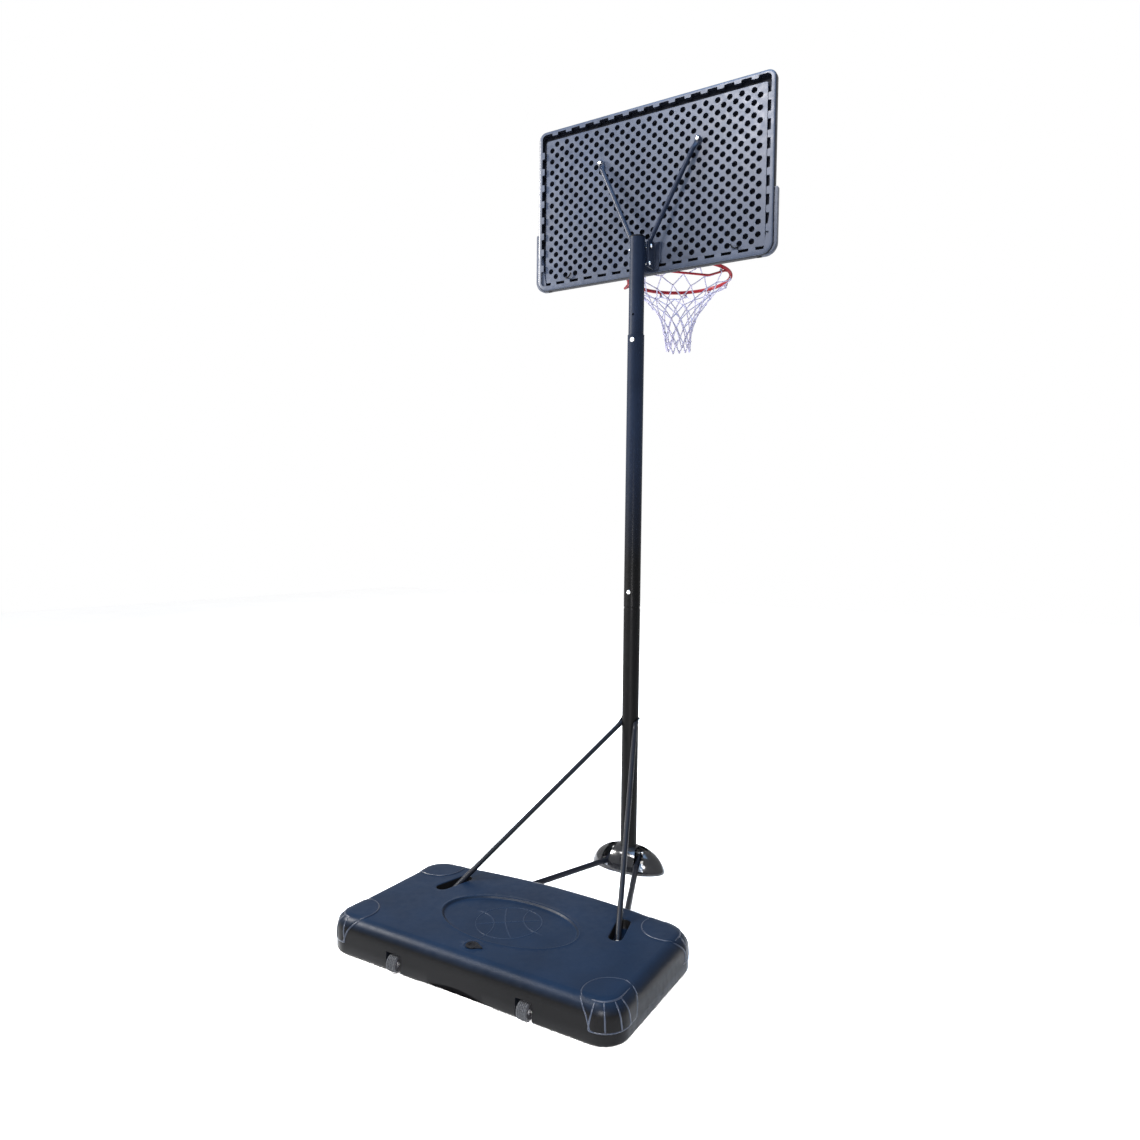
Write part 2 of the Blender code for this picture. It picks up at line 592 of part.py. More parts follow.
# ---------------------------------------------------------------- pole bolts
ear_out = FOOT_EAR_X + TAB_HALF + GAP
bolt("foot_bolt", (-ear_out, 0, FOOT_BOLT_Z), '-X', 2 * ear_out + 0.010)
nut("foot_nut", (ear_out, 0, FOOT_BOLT_Z), 'X')
strut_out = POLE_R + 2 * TAB_HALF + 2 * GAP
bolt("back_strut_bolt", (-strut_out, 0, BACK_STRUT_Z), '-X', 2 * strut_out + 0.010)
nut("back_strut_nut", (strut_out, 0, BACK_STRUT_Z), 'X')
bolt("pole_joint_bolt", (0, POLE_R + GAP, JOINT_BOLT_Z), 'Y', 2 * POLE_R + 0.012)
nut("pole_joint_nut", (0, -POLE_R - GAP, JOINT_BOLT_Z), '-Y')
bolt("height_bolt", (0, POLE_R + GAP, HEIGHT_BOLT_Z), 'Y', 0.0018, head=0.0085, head_h=0.006)
turned("height_nut", [(0.0034, -0.0018), (0.0034, 0.0), (0.0078, 0.0), (0.0078, 0.005), (0.0055, 0.009),
                      (0.002, 0.011)], "zinc", axis='-Y', count=12, at=(0, -POLE_R - GAP, HEIGHT_BOLT_Z))

# ---------------------------------------------------------------- backboard


def round_corner(ring, x, z, sx, sz, radius, steps=5):
    """Add one rounded corner; sx and sz say which way the corner points."""
    start = {(1, -1): -math.pi / 2, (1, 1): 0.0, (-1, 1): math.pi / 2, (-1, -1): math.pi}[(sx, sz)]
    middle = (x - sx * radius, z - sz * radius)
    for k in range(steps + 1):
        a = start + math.pi / 2 * k / steps
        ring.append((middle[0] + radius * math.cos(a), middle[1] + radius * math.sin(a)))


def board_outline(inset):
    """The board seen from behind: a rounded rectangle whose lower part has a wider flange."""
    low = BOARD_HALF + FLANGE_OUT - inset
    high = BOARD_HALF - inset
    ring = []
    round_corner(ring, low, inset, 1, -1, CORNER_LOW - inset)
    round_corner(ring, low, FLANGE_H - inset, 1, 1, 0.004, steps=2)
    ring.append((high, FLANGE_H - inset))
    round_corner(ring, high, BOARD_H - inset, 1, 1, CORNER_TOP - inset)
    round_corner(ring, -high, BOARD_H - inset, -1, 1, CORNER_TOP - inset)
    ring.append((-high, FLANGE_H - inset))
    round_corner(ring, -low, FLANGE_H - inset, -1, 1, 0.004, steps=2)
    round_corner(ring, -low, inset, -1, -1, CORNER_LOW - inset)
    return ring


def plain_outline(inset, corner):
    ring = []
    half = BOARD_HALF - inset
    for sx, sz in ((1, -1), (1, 1), (-1, 1), (-1, -1)):
        z = BOARD_H - inset if sz > 0 else inset
        round_corner(ring, sx * half, z, sx, sz, corner)
    return ring


def upright(outline, y):
    return [(x, y, z) for x, z in outline]


edge = 0.003
board_front = BOARD_REAR - BOARD_T
backboard = skin("backboard", [
    upright(board_outline(edge), 0), upright(board_outline(0), -edge),
    upright(board_outline(0), -BOARD_T + edge), upright(board_outline(edge), -BOARD_T)], "board",
    parent=head_slide, at=(0, BOARD_REAR, BOARD_Z))
groove = skin("cut_board_groove", [
    upright(plain_outline(GROOVE_IN, 0.020), 0.01),
    upright(plain_outline(GROOVE_IN, 0.020), -GROOVE_DEPTH),
    upright(plain_outline(GROOVE_IN + GROOVE_W, 0.008), -GROOVE_DEPTH),
    upright(plain_outline(GROOVE_IN + GROOVE_W, 0.008), 0.01)], loop=True,
    parent=head_slide, at=(0, BOARD_REAR, BOARD_Z))
board_hollow = skin("cut_board_hollow", [
    upright(plain_outline(BOARD_CAVITY_IN, 0.01), -BASE_WALL),
    upright(plain_outline(BOARD_CAVITY_IN, 0.01), -BOARD_T + BASE_WALL)],
    parent=head_slide, at=(0, BOARD_REAR, BOARD_Z))
strut_x, strut_z = BOARD_STRUT_TOP
solid = [((-0.075, board_front - 0.01, BOARD_Z - 0.01), (0.075, BOARD_REAR + 0.01, BRACKET_Z[1] + 0.015))]
for _, side in SIDES:
    solid.append(((side * strut_x - 0.02, board_front - 0.01, strut_z - 0.02),
                  (side * strut_x + 0.02, BOARD_REAR + 0.01, strut_z + 0.02)))
cut(board_hollow, cutter_of("cut_board_keep", parent=head_slide, boxes=solid))
cut(backboard, groove)
cut(backboard, board_hollow)
through = [((side * strut_x, board_front - 0.01, strut_z), (side * strut_x, BOARD_REAR + 0.01, strut_z),
            BOLT_HOLE) for _, side in SIDES]
rim_bolts = [(side_name + "_" + level, side * RIM_BOLT_X, z)
             for side_name, side in SIDES for level, z in zip(("low", "high"), RIM_BOLT_Z)]
rim_holes = [((x, board_front - 0.02, z), (x, BOARD_REAR + 0.01, z), BOLT_HOLE) for _, x, z in rim_bolts]
drain_y = BOARD_REAR - BOARD_T / 2
drain = [((0.40, drain_y, BOARD_Z - 0.01), (0.40, drain_y, BOARD_Z + BOARD_CAVITY_IN + 0.01), 0.004)]
cut(backboard, cutter_of("cut_board_holes", parent=head_slide, rods=through + rim_holes + drain))

# ---------------------------------------------------------------- board bracket
web = BOARD_REAR + GAP
near, far = BRACKET_FLANGE
half_plan = [(BRACKET_PLATE_HALF, web), (BRACKET_PLATE_HALF, web + SHEET), (far, web + SHEET),
             (far, BRACKET_REACH), (near, BRACKET_REACH), (near, web + SHEET)]
plan = half_plan + [(-x, y) for x, y in reversed(half_plan)]
board_bracket = skin("board_bracket", [[(x, y, z) for x, y in plan] for z in BRACKET_Z], "bracket",
                     parent=head_slide)
cut(board_bracket, cutter_of("cut_bracket_holes", parent=head_slide, rods=rim_holes + cross))
for level, z in BRACKET_BOLT_Z:
    out = far + GAP + (2 * TAB_HALF + GAP if level == "upper" else 0)
    bolt("bracket_bolt_" + level, (-out, BRACKET_BOLT_Y, z), '-X', 2 * out + 0.010, parent=head_slide)
    nut("bracket_nut_" + level, (out, BRACKET_BOLT_Y, z), 'X', parent=head_slide)

# ---------------------------------------------------------------- board struts
for side_name, side in SIDES:
    low = Vector((side * (far + GAP + TAB_HALF), BRACKET_BOLT_Y, BRACKET_BOLT_Z[0][1]))
    high = Vector((side * strut_x, BOARD_REAR + GAP + TAB_HALF, strut_z))
    rise = Vector((0, 0, 1))
    slope = Vector((high.x - low.x, 0, high.z - low.z)).normalized()
    first = low + rise * 0.045 + Vector((side * 0.006, -0.004, 0))
    last = high - slope * 0.045 + Vector((0, 0.010, 0))
    run = (last - first).normalized()
    stations = [
        (low - rise * 0.013, Vector((0, 1, 0)), 0.0125, TAB_HALF),
        (low + rise * 0.014, Vector((0, 1, 0)), 0.0125, TAB_HALF),
        (first, Vector((0, 1, 0)), BOARD_STRUT_R, BOARD_STRUT_R),
        (first + run * 0.03, Vector((0, 1, 0)), BOARD_STRUT_R, BOARD_STRUT_R),
        (last - run * 0.03, Vector((1, 0, 0)), BOARD_STRUT_R, BOARD_STRUT_R),
        (last, Vector((1, 0, 0)), 0.0108, 0.008),
        (high - slope * 0.016, Vector((1, 0, 0)), 0.0125, TAB_HALF),
        (high + slope * 0.013, Vector((1, 0, 0)), 0.0125, TAB_HALF)]
    ob = strut("board_strut_" + side_name, stations, 0.0012, parent=head_slide)
    cut(ob, cutter_of("cut_board_strut_" + side_name, parent=head_slide, rods=[
        (low - Vector((0.02, 0, 0)), low + Vector((0.02, 0, 0)), BOLT_HOLE),
        (high - Vector((0, 0.02, 0)), high + Vector((0, 0.02, 0)), BOLT_HOLE)]))
    shank = BOARD_T + 2 * TAB_HALF + 0.010
    bolt("board_strut_bolt_" + side_name, (high.x, board_front - GAP, high.z), '-Y', shank,
         parent=head_slide)
    nut("board_strut_nut_" + side_name, (high.x, high.y + TAB_HALF + GAP, high.z), 'Y', parent=head_slide)

# ---------------------------------------------------------------- rim
ring_steps = 48
ring_rings = []
for k in range(ring_steps):
    a = 2 * math.pi * k / ring_steps
    out = Vector((math.cos(a), math.sin(a), 0))
    ring_rings.append([out * (RING_R + RING_ROD * math.cos(b)) + Vector((0, 0, RING_ROD * math.sin(b)))
                       for b in [2 * math.pi * n / 8 for n in range(8)]])
rim = skin("rim", ring_rings, "rim", loop=True, parent=head_slide, at=(0, RING_Y, RING_Z))

plate_rear = board_front - GAP
plate_front = plate_rear - SHEET
plates = bmesh.new()
box_into(plates, (-RIM_PLATE_HALF, plate_front, RIM_PLATE_Z[0]), (RIM_PLATE_HALF, plate_rear, RIM_PLATE_Z[1]))
cut(rim, link("cut_rim_plate", plates, parent=head_slide), 'UNION')
arm = bmesh.new()
arm_plan = [(0.050, plate_rear - 0.001), (-0.050, plate_rear - 0.001), (-0.080, RING_Y + RING_R - 0.012),
            (0.080, RING_Y + RING_R - 0.012)]
skin_into(arm, [[(x, y, z) for x, y in arm_plan] for z in (RING_Z - 0.0015, RING_Z + 0.0015)])
cut(rim, link("cut_rim_arm", arm, parent=head_slide), 'UNION')
for side_name, side in SIDES:
    knee = Vector((side * 0.206, -0.289, 2.560))
    root = Vector((side * 0.054, plate_front - 0.0008, 2.556))
    a = math.radians(4)
    weld = Vector((side * (RING_R - 0.001) * math.cos(a), RING_Y + RING_R * math.sin(a), RING_Z - 0.006))
    path = [root, knee - (knee - root).normalized() * 0.012, knee,
            knee + (weld - knee).normalized() * 0.012, weld]
    rings = strut_rings([(p, Vector((0, 0, 1)), 0.0048, 0.0048) for p in path], 0.0, count=8)
    cut(rim, skin("cut_rim_brace_" + side_name, rings, parent=head_slide), 'UNION')
hooks = bmesh.new()
for k in range(HOOKS):
    a = 2 * math.pi * (k + 0.5) / HOOKS
    x = RING_R * math.cos(a)
    y = RING_Y + RING_R * math.sin(a)
    rod_into(hooks, (x, y, RING_Z - 0.003), (x, y, RING_Z - 0.019), 0.0022, count=6)
cut(rim, link("cut_rim_hooks", hooks, parent=head_slide), 'UNION')
cut(rim, cutter_of("cut_rim_holes", parent=head_slide, rods=rim_holes))
for label, x, z in rim_bolts:
    shank = SHEET * 2 + BOARD_T + 0.010
    bolt("rim_bolt_" + label, (x, plate_front - GAP, z), '-Y', shank, parent=head_slide)
    nut("rim_nut_" + label, (x, web + SHEET + GAP, z), 'Y', across=0.0070, height=0.0055,
        parent=head_slide)

# ---------------------------------------------------------------- net
net_outer = [circle(r, -drop, 28) for drop, r in NET_ROWS]
net_inner = [circle(r - NET_T, -drop, 28) for drop, r in NET_ROWS]
skin("net", net_outer + net_inner[::-1], "net", loop=True, parent=head_slide, at=(0, RING_Y, NET_TOP))
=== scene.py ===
import json
import math

import bpy
import bmesh
import numpy as np
from mathutils import Matrix, Vector
from mathutils.bvhtree import BVHTree
from mathutils.geometry import delaunay_2d_cdt

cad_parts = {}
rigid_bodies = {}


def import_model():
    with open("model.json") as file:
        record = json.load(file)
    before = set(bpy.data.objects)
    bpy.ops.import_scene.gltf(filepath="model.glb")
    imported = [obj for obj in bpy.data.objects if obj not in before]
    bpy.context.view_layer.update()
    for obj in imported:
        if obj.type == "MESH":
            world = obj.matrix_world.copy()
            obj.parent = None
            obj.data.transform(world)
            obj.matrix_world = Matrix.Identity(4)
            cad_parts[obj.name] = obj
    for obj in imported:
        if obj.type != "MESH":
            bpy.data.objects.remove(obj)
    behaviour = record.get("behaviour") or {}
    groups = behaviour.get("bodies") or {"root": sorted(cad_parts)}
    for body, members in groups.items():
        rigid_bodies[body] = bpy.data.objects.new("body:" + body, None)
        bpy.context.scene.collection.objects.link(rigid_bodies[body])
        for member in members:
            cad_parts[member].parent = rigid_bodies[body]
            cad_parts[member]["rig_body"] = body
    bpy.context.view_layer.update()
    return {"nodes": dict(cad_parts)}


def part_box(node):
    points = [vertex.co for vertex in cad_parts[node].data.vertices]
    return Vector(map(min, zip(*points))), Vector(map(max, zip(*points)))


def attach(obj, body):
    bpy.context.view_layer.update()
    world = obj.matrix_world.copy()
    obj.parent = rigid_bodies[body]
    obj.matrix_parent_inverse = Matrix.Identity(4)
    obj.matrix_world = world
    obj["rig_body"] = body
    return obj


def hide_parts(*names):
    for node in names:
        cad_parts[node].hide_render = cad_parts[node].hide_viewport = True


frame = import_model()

TAU = 2 * math.pi


def middle(node):
    low, high = (Vector(c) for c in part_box(node))
    return (low + high) / 2


POLE = Vector((0, middle("pole_lower").y, 0))       # foot of the pole's axis

# ------------------------------------------------------------------ camera, light, floor
cam_data = bpy.data.cameras.new("camera")
cam = bpy.data.objects.new("camera", cam_data)
bpy.context.collection.objects.link(cam)
bpy.context.scene.camera = cam
LENS_MM = 25.9042
SENSOR_MM = 36.0
EYE_FROM_POLE = Vector((-1.5453, 3.1298, 1.4109))
YAW, PITCH, ROLL = 0.5347, -0.0397, 0.0119          # radians
cam_data.sensor_width = SENSOR_MM
cam_data.lens = LENS_MM
cam_data.clip_end = 60
eye = POLE + EYE_FROM_POLE
ahead = Vector((math.sin(YAW) * math.cos(PITCH), -math.cos(YAW) * math.cos(PITCH), math.sin(PITCH)))
right = ahead.cross(Vector((0, 0, 1))).normalized()
above = right.cross(ahead)
right_r = right * math.cos(ROLL) + above * math.sin(ROLL)
above_r = above * math.cos(ROLL) - right * math.sin(ROLL)
turn = Matrix((right_r, above_r, -ahead)).transposed().to_4x4()
cam.matrix_world = Matrix.Translation(eye) @ turn


def area_light(name, at, aim, width, height, power, color=(1, 1, 1), spread=180):
    data = bpy.data.lights.new(name, 'AREA')
    data.shape = 'RECTANGLE'
    data.size = width
    data.size_y = height
    data.energy = power
    data.color = color
    data.spread = math.radians(spread)
    ob = bpy.data.objects.new(name, data)
    bpy.context.collection.objects.link(ob)
    at = Vector(at)
    facing = (Vector(aim) - at).to_track_quat('-Z', 'Y').to_matrix().to_4x4()
    ob.matrix_world = Matrix.Translation(at) @ facing


world = bpy.data.worlds.new("studio")
bpy.context.scene.world = world
world.use_nodes = True
back = world.node_tree.nodes["Background"]
back.inputs["Color"].default_value = (1.0, 1.0, 1.0, 1)
back.inputs["Strength"].default_value = 1.0
bpy.context.scene.view_settings.view_transform = 'Standard'

area_light("key", (5.6, 2.3, 4.8), (0, 0.1, 1.4), 1.6, 1.6, 1400, (1.0, 0.97, 0.93))
area_light("board_glow", (0.50, 3.4, 5.5), (-0.45, -0.3, 3.1), 1.1, 1.1, 300, (1.0, 0.97, 0.97))
area_light("sky", (-0.4, 1.0, 6.0), (0, 0.5, 0), 4.0, 3.0, 330, (0.32, 0.58, 1.0))
area_light("edge_glow", (1.9, 2.4, 4.4), (-0.1, 0.9, 0.1), 1.8, 0.8, 20, (1.0, 0.99, 0.97), 50)
area_light("corner_glow", (-1.75, 4.28, 1.90), (-0.45, 0.85, 0.1), 0.9, 0.9, 34, (1.0, 0.98, 0.98), 50)

# ------------------------------------------------------------------ materials


class Look:
    """A small builder for one procedural material, in object coordinates and metres."""

    def __init__(self, name, rough=0.5, metallic=0.0, specular=0.5, coat=0.0, coat_rough=0.1, ior=1.5):
        self.mat = bpy.data.materials.new(name)
        self.mat.use_nodes = True
        self.tree = self.mat.node_tree
        self.shader = self.tree.nodes["Principled BSDF"]
        self.shader.inputs["Roughness"].default_value = rough
        self.shader.inputs["Metallic"].default_value = metallic
        self.shader.inputs["Specular IOR Level"].default_value = specular
        self.shader.inputs["Coat Weight"].default_value = coat
        self.shader.inputs["Coat Roughness"].default_value = coat_rough
        self.shader.inputs["IOR"].default_value = ior
        self.coords = self.tree.nodes.new("ShaderNodeTexCoord").outputs["Object"]
        self.normal = None

    def node(self, kind, **values):
        made = self.tree.nodes.new(kind)
        for key, value in values.items():
            if key in made.inputs:
                made.inputs[key].default_value = value
            else:
                setattr(made, key, value)
        return made

    def link(self, out, into):
        self.tree.links.new(out, into)

    def noise(self, scale, detail=3.0, rough=0.5, stretch=None):
        tex = self.node("ShaderNodeTexNoise", Scale=scale, Detail=detail, Roughness=rough)
        if stretch:
            mapping = self.node("ShaderNodeMapping", Scale=stretch)
            self.link(self.coords, mapping.inputs["Vector"])
            self.link(mapping.outputs["Vector"], tex.inputs["Vector"])
        else:
            self.link(self.coords, tex.inputs["Vector"])
        return tex.outputs["Fac"]

    def spread(self, fac, low, high, start=0.3, end=0.7):
        """Stretch a noise so that it runs between two values."""
        span = self.node("ShaderNodeMapRange")
        span.inputs["From Min"].default_value = start
        span.inputs["From Max"].default_value = end
        span.inputs["To Min"].default_value = low
        span.inputs["To Max"].default_value = high
        self.link(fac, span.inputs["Value"])
        return span.outputs["Result"]

    def mix(self, fac, a, b):
        blend = self.node("ShaderNodeMix", data_type='RGBA')
        for value, socket in ((fac, blend.inputs[0]), (a, blend.inputs[6]), (b, blend.inputs[7])):
            if isinstance(value, (int, float)):
                socket.default_value = value
            elif isinstance(value, tuple):
                socket.default_value = (*value, 1)
            else:
                self.link(value, socket)
        return blend.outputs[2]

    def math(self, kind, a, b=None):
        step = self.node("ShaderNodeMath", operation=kind)
        for value, socket in ((a, step.inputs[0]), (b, step.inputs[1])):
            if value is None:
                continue
            if isinstance(value, (int, float)):
                socket.default_value = value
            else:
                self.link(value, socket)
        return step.outputs[0]

    def bump(self, height, strength, distance):
        bump = self.node("ShaderNodeBump", Strength=strength, Distance=distance)
        self.link(height, bump.inputs["Height"])
        if self.normal is not None:
            self.link(self.normal, bump.inputs["Normal"])
        self.normal = bump.outputs["Normal"]
        self.link(self.normal, self.shader.inputs["Normal"])

    def color(self, out):
        self.link(out, self.shader.inputs["Base Color"])

    def roughness(self, out):
        self.link(out, self.shader.inputs["Roughness"])


def scaled(color, factor):
    return tuple(c * factor for c in color)


# how far a face looks up, where the wall colour ends and where the top colour, a painted sky reflection, is full
SKY_TINT_SPAN = (0.30, 0.97)
# heights between which a coat runs from its low colour, painted shade near the ground, to its main one
GROUND_SHADE_HEIGHTS = (1.30, 1.85)


def moulded(name, color, rough=0.42, grain=1400, grain_depth=0.00012, specular=0.5, dust=0.08, wall=None):
    """Blow-moulded plastic: fine pebble grain, slow colour drift and faint scuffs.

    With a wall colour, upright faces take it and faces that look up keep the main colour; that split is painted
    sky light on the top faces.
    """
    look = Look(name, rough=rough, specular=specular)
    drift = look.spread(look.noise(5.5, 4), 0.0, 1.0)
    tone = look.mix(drift, scaled(color, 0.86), scaled(color, 1.16))
    if wall is not None:
        split = look.node("ShaderNodeSeparateXYZ")
        look.link(look.node("ShaderNodeNewGeometry").outputs["Normal"], split.inputs["Vector"])
        # faces that look up take the main colour as a painted sky reflection
        sky_tint_share = look.spread(split.outputs["Z"], 0.0, 1.0, *SKY_TINT_SPAN)
        tone = look.mix(sky_tint_share, look.mix(drift, scaled(wall, 0.88), scaled(wall, 1.12)), tone)
    scuff = look.spread(look.noise(160, 5, 0.65, (1, 0.25, 1)), 0.0, dust, 0.60, 0.75)
    look.color(look.mix(scuff, tone, tuple(c * 3.0 + 0.012 for c in color)))
    look.roughness(look.spread(look.noise(38, 5), rough - 0.05, rough + 0.08))
    look.bump(look.noise(grain, 2), 0.30, grain_depth)
    look.bump(look.noise(34, 3), 0.12, 0.0009)
    return look


def coated(name, color, rough=0.28, coat=0.35, chip_color=(0.025, 0.028, 0.036), specular=0.09, low=None):
    """Powder-coated steel: orange peel and slight unevenness of gloss.

    With a low colour, the coat has it near the ground as painted shade and runs to the main colour higher up.
    """
    look = Look(name, rough=rough, specular=specular, coat=coat, coat_rough=0.14)
    drift = look.spread(look.noise(9, 3), 0.0, 1.0)
    tone = look.mix(drift, scaled(color, 0.88), scaled(color, 1.14))
    if low is not None:
        # the low colour is painted shade, darkest near the ground
        split = look.node("ShaderNodeSeparateXYZ")
        look.link(look.coords, split.inputs["Vector"])
        tone = look.mix(look.spread(split.outputs["Z"], 0.0, 1.0, *GROUND_SHADE_HEIGHTS), low, tone)
    chips = look.spread(look.noise(260, 5, 0.6), 0.0, 0.30, 0.76, 0.82)
    look.color(look.mix(chips, tone, chip_color))
    look.roughness(look.spread(look.noise(60, 4), rough - 0.05, rough + 0.09))
    look.bump(look.noise(420, 2), 0.10, 0.00010)
    return look


def plated(name):
    """Bright zinc plating with a faint iridescent mottle and brushed streaks."""
    look = Look(name, rough=0.22, metallic=1.0)
    mottle = look.spread(look.noise(300, 4), 0.0, 1.0)
    look.color(look.mix(mottle, (0.62, 0.63, 0.66), (0.86, 0.85, 0.80)))
    look.roughness(look.spread(look.noise(900, 3), 0.16, 0.36))
    look.bump(look.noise(1500, 2), 0.10, 0.00008)
    return look


# The tank's navy on faces that look up is a painted blue sky reflection; upright faces take the neutral wall
# colour, the plastic's own.
mat_tank = moulded("tank_plastic", (0.0020, 0.0056, 0.0134), rough=0.34, specular=0.040, dust=0.10,
                   wall=(0.0021, 0.0021, 0.0022)).mat
mat_rib = moulded("tank_rib_plastic", (0.003, 0.004, 0.006), rough=0.50, specular=0.08).mat
# The seam beads are lighter and bluer than the tank, a painted highlight along the moulded lines; the emblem takes
# the tank top's painted sky tone, a little lighter as painted highlight.
mat_seam = moulded("tank_seam_plastic", (0.0055, 0.0090, 0.0175), rough=0.30, specular=0.22,
                   dust=0.06).mat
mat_emblem = moulded("tank_emblem_plastic", (0.0026, 0.0070, 0.0165), rough=0.32, specular=0.08,
                     dust=0.04).mat
mat_cap = moulded("cap_plastic", (0.0022, 0.0024, 0.0032), rough=0.5, specular=0.06, dust=0.03).mat
# Near-black lining of the rear arch and its lip: painted shade under the tank.
mat_arch_shade = moulded("tank_arch_painted_shade", (0.0006, 0.0006, 0.0008), rough=0.75, specular=0.02,
                     dust=0.01).mat
mat_wheel = moulded("wheel_plastic", (0.016, 0.017, 0.019), rough=0.62, specular=0.14).mat
mat_hub = moulded("wheel_hub_plastic", (0.022, 0.022, 0.025), rough=0.5).mat
# The near-black low colours of the pole and struts are painted shade near the ground.
mat_pole = coated("pole_coat", (0.0042, 0.0076, 0.0165), rough=0.44, coat=0.01, specular=0.065,
                  low=(0.0010, 0.0010, 0.0011)).mat
mat_strut = coated("strut_coat", (0.0045, 0.0080, 0.0175), rough=0.40, coat=0.02,
                   low=(0.0016, 0.0022, 0.0042)).mat
# The bracket's grey tone matches the board's painted sky reflection.
mat_bracket = coated("bracket_coat", (0.014, 0.018, 0.029), rough=0.40, coat=0.05).mat
mat_zinc = plated("zinc_plate").mat

foot_look = moulded("foot_gloss_plastic", (0.0035, 0.0037, 0.0045), rough=0.12, grain=900, specular=0.35,
                    grain_depth=0.00002, dust=0.05)
foot_look.shader.inputs["Coat Weight"].default_value = 0.10
foot_look.shader.inputs["Coat Roughness"].default_value = 0.06
mat_foot = foot_look.mat
mat_rim = coated("rim_coat", (0.150, 0.0045, 0.009), rough=0.38, coat=0.08, chip_color=(0.09, 0.02, 0.02)).mat

BOARD_BOX = [Vector(c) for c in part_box("backboard")]


def board_front_look():
    """Satin panel plastic that carries a plain white border and target square."""
    look = moulded("board_front_plastic", (0.006, 0.0065, 0.0085), rough=0.32, specular=0.25, dust=0.05)
    split = look.node("ShaderNodeSeparateXYZ")
    look.link(look.coords, split.inputs[0])
    x = look.math('ABSOLUTE', split.outputs["X"])
    z = split.outputs["Z"]
    low, high = BOARD_BOX

    def within(value, bottom, top):
        above_bottom = look.math('GREATER_THAN', value, bottom)
        return look.math('MULTIPLY', above_bottom, look.math('LESS_THAN', value, top))

    def frame_mask(half, bottom, top, width):
        outer = look.math('MULTIPLY', look.math('LESS_THAN', x, half), within(z, bottom, top))
        inner = look.math('MULTIPLY', look.math('LESS_THAN', x, half - width),
                          within(z, bottom + width, top - width))
        return look.math('SUBTRACT', outer, inner)

    border = frame_mask(0.515, low.z + 0.036, high.z - 0.034, 0.038)
    target = frame_mask(0.245, low.z + 0.125, low.z + 0.515, 0.040)
    both = look.math('MAXIMUM', border, target)
    ink = look.math('MULTIPLY', both, look.spread(look.noise(240, 4), 0.90, 1.0))
    under = look.shader.inputs["Base Color"].links[0].from_socket
    look.color(look.mix(ink, under, (0.78, 0.78, 0.77)))
    return look.mat


# The grey-blue base colour is a painted sky reflection on the black panel; the pits, channel and edge keep the
# panel's own near-black.
mat_board = moulded("board_plastic", (0.0185, 0.0250, 0.0410), rough=0.36, specular=0.30, dust=0.08).mat
mat_front = board_front_look()
mat_edge = moulded("board_edge_plastic", (0.0050, 0.0058, 0.0090), rough=0.42, specular=0.15).mat
mat_pit = moulded("board_pit_plastic", (0.003, 0.004, 0.008), rough=0.65, specular=0.12, dust=0.01).mat


def net_look():
    look = Look("net_cord", rough=0.82, specular=0.25)
    look.shader.inputs["Sheen Weight"].default_value = 0.35
    look.shader.inputs["Sheen Roughness"].default_value = 0.5
    shade = look.spread(look.noise(55, 4), 0.0, 1.0)
    tone = look.mix(shade, (0.19, 0.18, 0.27), (0.34, 0.33, 0.42))
    fibre = look.spread(look.noise(2600, 3, 0.6), 0.0, 0.35)
    look.color(look.mix(fibre, tone, (0.14, 0.13, 0.22)))
    look.bump(look.noise(2400, 3, 0.6), 0.6, 0.0003)
    return look.mat


mat_net = net_look()


def floor_look():
    look = Look("floor_paint", rough=0.85, specular=0.2)
    tone = look.spread(look.noise(1.2, 3), 0.0, 1.0)
    look.color(look.mix(tone, (0.955, 0.955, 0.955), (0.975, 0.975, 0.975)))
    return look.mat


FLOOR_HALF = 14.0
floor_mesh = bpy.data.meshes.new("floor")
floor_mesh.from_pydata([(x * FLOOR_HALF, y * FLOOR_HALF, 0) for x, y in ((-1, -1), (1, -1), (1, 1), (-1, 1))],
                       [], [(0, 1, 2, 3)])
floor_mesh.materials.append(floor_look())
floor = bpy.data.objects.new("floor", floor_mesh)
bpy.context.collection.objects.link(floor)

# ------------------------------------------------------------------ mesh building


